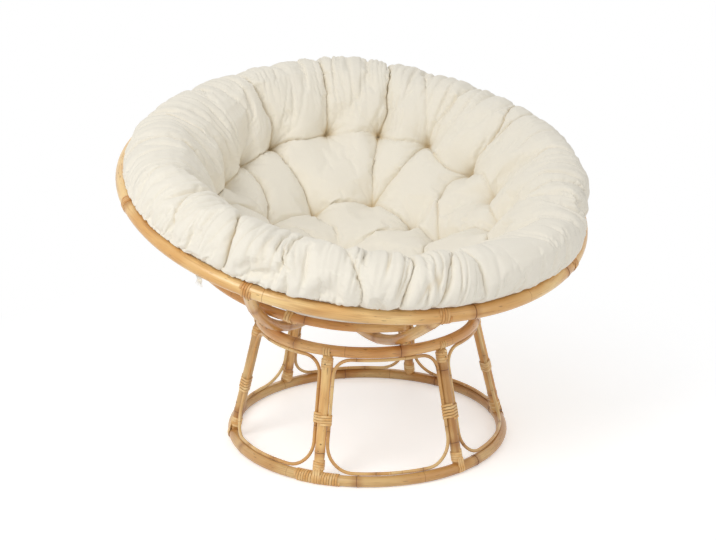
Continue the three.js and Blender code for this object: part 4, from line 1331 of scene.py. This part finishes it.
class PAPASAN_OT_cushion(Operator):
    """Tufted cotton cushion that lines the bowl and rolls over its rim"""

    bl_idname = "papasan.cushion"
    bl_label = "Cushion"

    def execute(self, context):
        settings = context.scene.papasan_cushion
        verts, faces, fold = self.surface(settings)
        cotton = materials()["natural_cotton"]
        # The fold attribute carries the painted shade of the folds, tufts and pleats
        piece = add_mesh("seat_cushion", bowl_placed(verts), faces, cotton, {"fold": fold})
        finish_piece(piece, "cushion", ["cushion"])
        return {"FINISHED"}

    def form(self, cells, settings):
        """The top face on a grid: its points with pillows and tufts, the way out of it, share and
        turn, how far the seam leaves it free, and its folds, cones, stars and stitched places."""
        x, y = disc_grid(cells)
        share, turn = np.hypot(x, y), np.arctan2(x, -y)
        point, normal, edge = self.face(top_profile(settings), share, turn, settings)
        waver = 0.006 * np.stack([periodic_noise(turn, share, 30, 12, seed) for seed in (5, 6)], -1)
        q = flat_point(share * edge, turn) + waver * smooth_step(share, 0.08, 0.2)[..., None]
        pillow, line = fold_fields(q)
        cone, star, pinned = tuft_fields(q)
        seam = 1 - smooth_step(share, 0.90, 0.985)
        height = settings.puff * (pillow - 0.62) - settings.tuft_depth * cone
        point = point + normal * (height * seam)[..., None]
        return SimpleNamespace(
            point=point, normal=normal, share=share, turn=turn, seam=seam, line=line, cone=cone,
            star=star, pinned=pinned,
        )

    def simulated(self, settings):
        """How far the stuffing moves the top face, on its grid. The swelling is taken back ring by
        ring, so that the pillows and wrinkles stay and the cushion keeps its size."""
        top = self.form(settings.cells, settings)
        count = settings.cells + 1
        faces = grid_faces(np.arange(count ** 2).reshape(count, count))
        first = (settings.gather * gathers(top.turn, top.share) * top.seam)[..., None] * top.normal
        held = (top.pinned > 0) | (top.share > 0.955)
        snug = 1 - smooth_step(top.share, 0.45, 0.62)
        moved = stuffed((top.point + first).reshape(-1, 3), faces, held.ravel(), snug.ravel(), settings)
        moved = moved.reshape(top.point.shape) + first
        swell = (moved * top.normal).sum(-1)
        nearest = np.round(top.share * RINGS).astype(int).ravel()
        total = np.bincount(nearest, weights=swell.ravel(), minlength=RINGS + 1)
        mean = total / np.maximum(np.bincount(nearest, minlength=RINGS + 1), 1)
        mean = np.convolve(np.pad(mean, 2, mode="edge"), np.ones(5) / 5, "valid")
        swell = np.interp(top.share, np.linspace(0, 1, RINGS + 1), mean)
        return moved - swell[..., None] * top.normal

    def belly(self, under, turn, share):
        """How far the underside swells out: between the hoops and ribs, drawn in at the tufts that are
        stitched through, with pleats up to the rim. It keeps clear of the hoops."""
        polar = np.arctan2(np.hypot(under[..., 0], under[..., 1]), -under[..., 2])
        from_middle = np.abs(polar - (MID_POLAR + SPLICE_POLAR) / 2)
        off_middle = smooth_step(from_middle, math.radians(3.4), math.radians(9))
        off_low = smooth_step(np.abs(polar - LOW_POLAR), math.radians(2.6), math.radians(7))
        between = 0.72 - 0.28 * np.cos(8 * (turn - RIB_TURNS[0]))
        wall = 1 - 0.8 * smooth_step(polar, math.radians(47), math.radians(56))
        swell = 0.0125 * off_middle * off_low * between * wall
        cone, star, _ = tuft_fields(flat_point(polar * HOLLOW_SPHERE, turn))
        uneven = 0.0012 * periodic_noise(turn, share, 34, 9, 21)
        ruck = 0.6 * pleats(turn + 0.3, np.clip(share + 0.10, 0, 1))[0]
        ruck = ruck * smooth_step(polar, math.radians(42), math.radians(50))
        fade = 1 - smooth_step(share, 0.93, 0.995)
        return (0.0008 + swell + uneven * off_middle * off_low - 0.012 * cone - 0.0010 * star + ruck) * fade

    def surface(self, settings):
        """Two faces of cloth, top and underside, each a disc, joined along the seam behind the rim."""
        cells = settings.cells * 2
        stuffing = finer(self.simulated(settings), cells + 1)
        top = self.form(cells, settings)
        ripple = settings.gather * gathers(top.turn, top.share) * GATHERS_AFTER
        fine, valleys = pleats(top.turn, top.share)
        relief = ripple + fine - settings.crease * top.line + STAR_HEIGHT * top.star
        top_points = top.point + stuffing + top.normal * (relief * top.seam)[..., None]
        under, down, _ = self.face(under_profile(), top.share, top.turn, settings)
        under_points = under - down * self.belly(under, top.turn, top.share)[..., None]
        count = (cells + 1) ** 2
        index = np.arange(count).reshape(cells + 1, cells + 1)
        seam = np.zeros_like(index, bool)
        seam[0], seam[-1], seam[:, 0], seam[:, -1] = True, True, True, True
        below = np.where(seam, index, index + count)
        verts = np.concatenate([top_points.reshape(-1, 3), under_points.reshape(-1, 3)])
        keep = np.ones(2 * count, bool)
        keep[count:][seam.ravel()] = False
        order = np.cumsum(keep) - 1
        faces = [order[grid_faces(index)], order[grid_faces(below)[:, [0, 3, 2, 1]]]]
        # Painted shade: how much of the darker fold colour each point takes, along the fold lines, in the
        # tuft cones, in the pleat valleys and in the stars
        tint = top.line * 0.8 + top.cone ** 2 + 0.20 * valleys ** 2 + 0.25 * np.clip(-top.star, 0, 1)
        fold = np.concatenate([np.clip(tint, 0, 1).ravel(), np.zeros(count)])
        return verts[keep], faces, fold[keep]

    @staticmethod
    def face(profile, share, turn, settings):
        """A profile turned about the bowl's axis. Its rows lean with the rim, and the roll has slid
        to one side and is drawn in and sunk as the tables of the edge say."""
        (rho, z, lean, slide, along_rho, along_z), length = profile_at(profile, share)
        out = azimuth(turn)
        point = out * rho[..., None] + lean[..., None] * RIM_SHIFT
        point = point + (slide * settings.slide)[..., None] * azimuth(SLIDE_WAY)
        point = point - out * (slide * round_the_edge(EDGE_IN, turn))[..., None]
        point[..., 2] = z - slide * round_the_edge(EDGE_DOWN, turn)
        normal = out * -along_z[..., None]
        normal[..., 2] = along_rho
        return point, normal, length


class PAPASAN_OT_trim(Operator):
    """Cotton tie under the rim, and the nail heads of the joints"""

    bl_idname = "papasan.trim"
    bl_label = "Tie and nails"

    def execute(self, context):
        self.tie()
        self.nails()
        return {"FINISHED"}

    def tie(self):
        """A cotton tape that comes down from the seam behind the rim, goes once under it and hangs
        with a frayed end: threads side by side that spread as the square of their length."""
        radius, height, thick = RIM
        angle = np.radians(np.linspace(150, 285, 26))
        turn = math.radians(-69.2) + np.linspace(-0.004, 0.006, 26)
        reach = thick + 0.0004
        path = azimuth(turn) * (radius + reach * np.cos(angle))[:, None]
        path[:, 2] += height + reach * np.sin(angle)
        level = azimuth(turn[-1] + np.pi / 2)
        drop = np.linspace(0.002, 0.012, 10)[:, None]
        swing = 0.003 * np.sin(np.linspace(0, 3, 10))[:, None]
        down = np.array([0, -math.sin(TILT), -math.cos(TILT)])
        loose = path[-1] + drop * down + swing * level
        path = np.concatenate([path, loose]) + RIM_SHIFT
        away = np.broadcast_to(-azimuth(turn[-1]), (10, 3))
        outward = np.concatenate([ring_outward(turn, angle), away])
        cotton, settings = materials()["natural_cotton"], rattan()
        pieces = [strand("tie_tape", path, outward, cotton, settings, 190, bowl_placed, 0.0130, 0.0012)]
        for k in range(7):
            side = level * (k - 3) * 0.0019
            thread = path[-1] + side + np.linspace(-0.002, 0.007 + 0.0012 * (k % 3), 7)[:, None] * down
            thread = thread + np.linspace(0, 1, 7)[:, None] ** 2 * side * 0.8
            pieces.append(strand(
                "tie_thread", thread, np.broadcast_to(outward[-1], (7, 3)), cotton, settings, 191 + k,
                bowl_placed, 0.0009, 0.0007,
            ))
        finish_piece(joined("tie_tape", pieces), "bowl", ["cushion_tie"])

    def nails(self):
        """Nail heads on the outer side of the legs, the top ring and the ribs."""
        spots = []
        for turn in LEG_TURNS:
            foot, head, axis, out, side = leg_frame(turn)
            aside = unit(out + side * 0.4)
            spots.append((head - axis * 0.030 + out * (LEG_RADIUS + 0.0019), out))
            spots.append((foot + axis * 0.062 + out * LEG_RADIUS, out))
            spots.append((foot + axis * 0.078 + aside * LEG_RADIUS, aside))
            flat = azimuth(turn + 0.035)
            spots.append((STAND_AXIS + flat * (TOP_RING[0] + TOP_RING[2]) + UP * TOP_RING[1], flat))
        self.caps("stand_nails", spots, "stand")
        spots = []
        for turn in RIB_TURNS:
            for polar, shift in ((41.6, 0.0), (57.2, 0.004), (39.2, -0.003)):
                direction = sphere_point(1.0, math.radians(polar), turn + shift / 0.35)
                lean = rib_lean(math.radians(polar)) * RIM_SHIFT
                place = direction * (RIB_SPHERE + RIB_RADIUS * 0.97) + lean
                spots.append((bowl_placed(place), bowl_turned(direction)))
        self.caps("bowl_nails", spots, "bowl")

    @staticmethod
    def caps(name, spots, body):
        """Domed nail heads at places and directions: rings of ten points at four polar angles of a
        flattened sphere, radius times sine across and height times cosine out, closed by a point
        above them and one below."""
        centre = np.array([place for place, _ in spots])
        out = np.array([way for _, way in spots])
        side = unit(np.cross(out, np.array([0.31, 0.17, 0.93])))
        other = np.cross(out, side)
        polar = np.radians([14, 45, 75, 100])
        angle = np.linspace(0, 2 * np.pi, 10, endpoint=False)
        ring = NAIL_RADIUS * np.sin(polar)[:, None, None] * np.stack([np.cos(angle), np.sin(angle)], -1)
        lift = NAIL_HEIGHT * np.cos(polar)
        points = centre[:, None, None] + ring[None, ..., :1] * side[:, None, None]
        points = points + ring[None, ..., 1:] * other[:, None, None]
        points = points + lift[None, :, None, None] * out[:, None, None]
        count, rows, m = points.shape[:3]
        above_below = np.stack([centre + out * 0.00093, centre - out * 0.0004], 1)
        verts = np.concatenate([points.reshape(count, -1, 3), above_below], 1)
        i, j = np.meshgrid(np.arange(rows - 1), np.arange(m), indexing="ij")
        next_j = (j + 1) % m
        quads = np.stack([i * m + j, (i + 1) * m + j, (i + 1) * m + next_j, i * m + next_j], -1)
        around = np.arange(m)
        after = (around + 1) % m
        last = (rows - 1) * m
        cap = np.stack([np.full(m, rows * m), around, after], -1)
        bottom = np.stack([np.full(m, rows * m + 1), last + after, last + around], -1)
        shift = (np.arange(count) * (rows * m + 2))[:, None, None]
        parts = (quads.reshape(-1, 4), cap, bottom)
        faces = [(part[None] + shift).reshape(-1, part.shape[1]) for part in parts]
        piece = add_mesh(name, verts.reshape(-1, 3), faces, materials()["dull_nail"])
        finish_piece(piece, body, [])


class PAPASAN_OT_studio(Operator):
    """Pale floor, soft lamps, and the camera"""

    bl_idname = "papasan.studio"
    bl_label = "Studio"

    def execute(self, context):
        settings = context.scene.papasan_studio
        self.camera(context.scene, settings)
        self.floor(settings)
        for name, (share, size, place) in LAMPS.items():
            self.lamp(name, settings.key * share, size, place)
        self.world(context.scene, settings)
        context.scene.view_settings.view_transform = "Standard"
        return {"FINISHED"}

    def camera(self, scene, settings):
        """The camera where the photograph was taken from."""
        data = bpy.data.cameras.new("camera")
        data.lens = settings.lens
        data.clip_end = 60
        camera = bpy.data.objects.new("camera", data)
        camera.location = CAMERA_PLACE
        camera.rotation_euler = (math.radians(90 - CAMERA_DOWN), 0, math.radians(CAMERA_TURN))
        scene.collection.objects.link(camera)
        scene.camera = camera

    def floor(self, settings):
        """A pale floor that keeps the chair's shadow near it, and further out is white to the camera
        and in reflections, with light of its own that no other ray sees."""
        finish = Finish("pale_floor")
        place = finish.add("ShaderNodeTexCoord", out="Object")
        speck = finish.noise(place, 4, 2)
        shade = finish.mix(speck, tuple(0.97 * c for c in settings.floor), tuple(settings.floor))
        finish.set({"Base Color": shade, "Roughness": 0.9, "Specular IOR Level": 0.0})
        kinds = ("Is Camera Ray", "Is Glossy Ray", "Is Transmission Ray")
        camera, glossy, transmission = (finish.add("ShaderNodeLightPath", out=kind) for kind in kinds)
        colour = (1.0, 1.0, 1.0)
        white = finish.add("ShaderNodeEmission", None, {"Color": colour, "Strength": 1.0})
        glow = finish.add("ShaderNodeEmission", None, {"Color": colour, "Strength": settings.glow})
        lit = Value(finish, finish.shader.outputs[0])
        near = finish.add("ShaderNodeAddShader", None, {0: lit, 1: glow})
        away = finish.add("ShaderNodeVectorMath", {"operation": "LENGTH"}, {0: place}, out="Value")
        far = finish.between(away, 0.55, 1.25)
        seen = finish.add("ShaderNodeMixShader", None, {0: far, 1: near, 2: white})
        direct = camera.apply("MAXIMUM", glossy).apply("MAXIMUM", transmission)
        picked = finish.add("ShaderNodeMixShader", None, {0: direct, 1: lit, 2: seen})
        finish.tree.links.new(picked.socket, finish.output.inputs["Surface"])
        verts = np.array([[-30, -30, 0], [30, -30, 0], [30, 30, 0], [-30, 30, 0]], float)
        piece = add_mesh("studio_floor", verts, [np.array([[0, 1, 2, 3]])], finish.material)

    def lamp(self, name, power, size, place):
        """A round lamp that faces the middle of the chair."""
        data = bpy.data.lights.new(name, "AREA")
        data.energy = power
        data.size = size
        data.shape = "DISK"
        lamp = bpy.data.objects.new(name, data)
        lamp.location = place
        aim = LAMP_AIM - np.array(place)
        flat = math.hypot(aim[0], aim[1])
        lamp.rotation_euler = (math.atan2(flat, -aim[2]), 0, math.atan2(aim[1], aim[0]) - math.pi / 2)
        bpy.context.scene.collection.objects.link(lamp)

    def world(self, scene, settings):
        """Even light from all round, at full white to the camera and in reflections and glass."""
        world = bpy.data.worlds.new("studio_sky")
        scene.world = world
        world.use_nodes = True
        tree = world.node_tree
        tree.nodes.clear()
        path = tree.nodes.new("ShaderNodeLightPath")
        seen = path
        for ray in ("Is Glossy Ray", "Is Transmission Ray"):
            either = tree.nodes.new("ShaderNodeMath")
            either.operation = "MAXIMUM"
            tree.links.new(seen.outputs[0], either.inputs[0])
            tree.links.new(path.outputs[ray], either.inputs[1])
            seen = either
        strength = tree.nodes.new("ShaderNodeMapRange")
        strength.inputs["To Min"].default_value = settings.sky
        strength.inputs["To Max"].default_value = 1.0
        tree.links.new(seen.outputs[0], strength.inputs["Value"])
        sky = tree.nodes.new("ShaderNodeBackground")
        sky.inputs["Color"].default_value = (1, 1, 1, 1)
        tree.links.new(strength.outputs["Result"], sky.inputs["Strength"])
        output = tree.nodes.new("ShaderNodeOutputWorld")
        tree.links.new(sky.outputs[0], output.inputs["Surface"])


STEPS = (
    PAPASAN_OT_studio,
    PAPASAN_OT_rings,
    PAPASAN_OT_legs,
    PAPASAN_OT_stand_bindings,
    PAPASAN_OT_bowl,
    PAPASAN_OT_bowl_bindings,
    PAPASAN_OT_cushion,
    PAPASAN_OT_trim,
)


class PAPASAN_PT_panel(Panel):
    """Sizes, colours and steps of the chair"""

    bl_idname = "PAPASAN_PT_panel"
    bl_label = "Papasan chair"
    bl_space_type = "VIEW_3D"
    bl_region_type = "UI"
    bl_category = "Papasan"

    def draw(self, context):
        scene = context.scene
        for group in (scene.papasan_rattan, scene.papasan_cushion, scene.papasan_studio):
            box = self.layout.box()
            for key in group.__annotations__:
                box.prop(group, key)
        for step in STEPS:
            self.layout.operator(step.bl_idname)


CLASSES = (RattanSettings, CushionSettings, StudioSettings, *STEPS, PAPASAN_PT_panel)


def register():
    """Make the classes and their settings known to Blender."""
    for item in CLASSES:
        bpy.utils.register_class(item)
    bpy.types.Scene.papasan_rattan = PointerProperty(type=RattanSettings)
    bpy.types.Scene.papasan_cushion = PointerProperty(type=CushionSettings)
    bpy.types.Scene.papasan_studio = PointerProperty(type=StudioSettings)


def unregister():
    """Take the settings and the classes away again."""
    for key in ("papasan_rattan", "papasan_cushion", "papasan_studio"):
        delattr(bpy.types.Scene, key)
    for item in reversed(CLASSES):
        bpy.utils.unregister_class(item)


def main():
    """Build the chair in the order of the steps."""
    register()
    for step in STEPS:
        group, name = step.bl_idname.split(".")
        getattr(getattr(bpy.ops, group), name)()

if __name__ == "__main__":
    main()
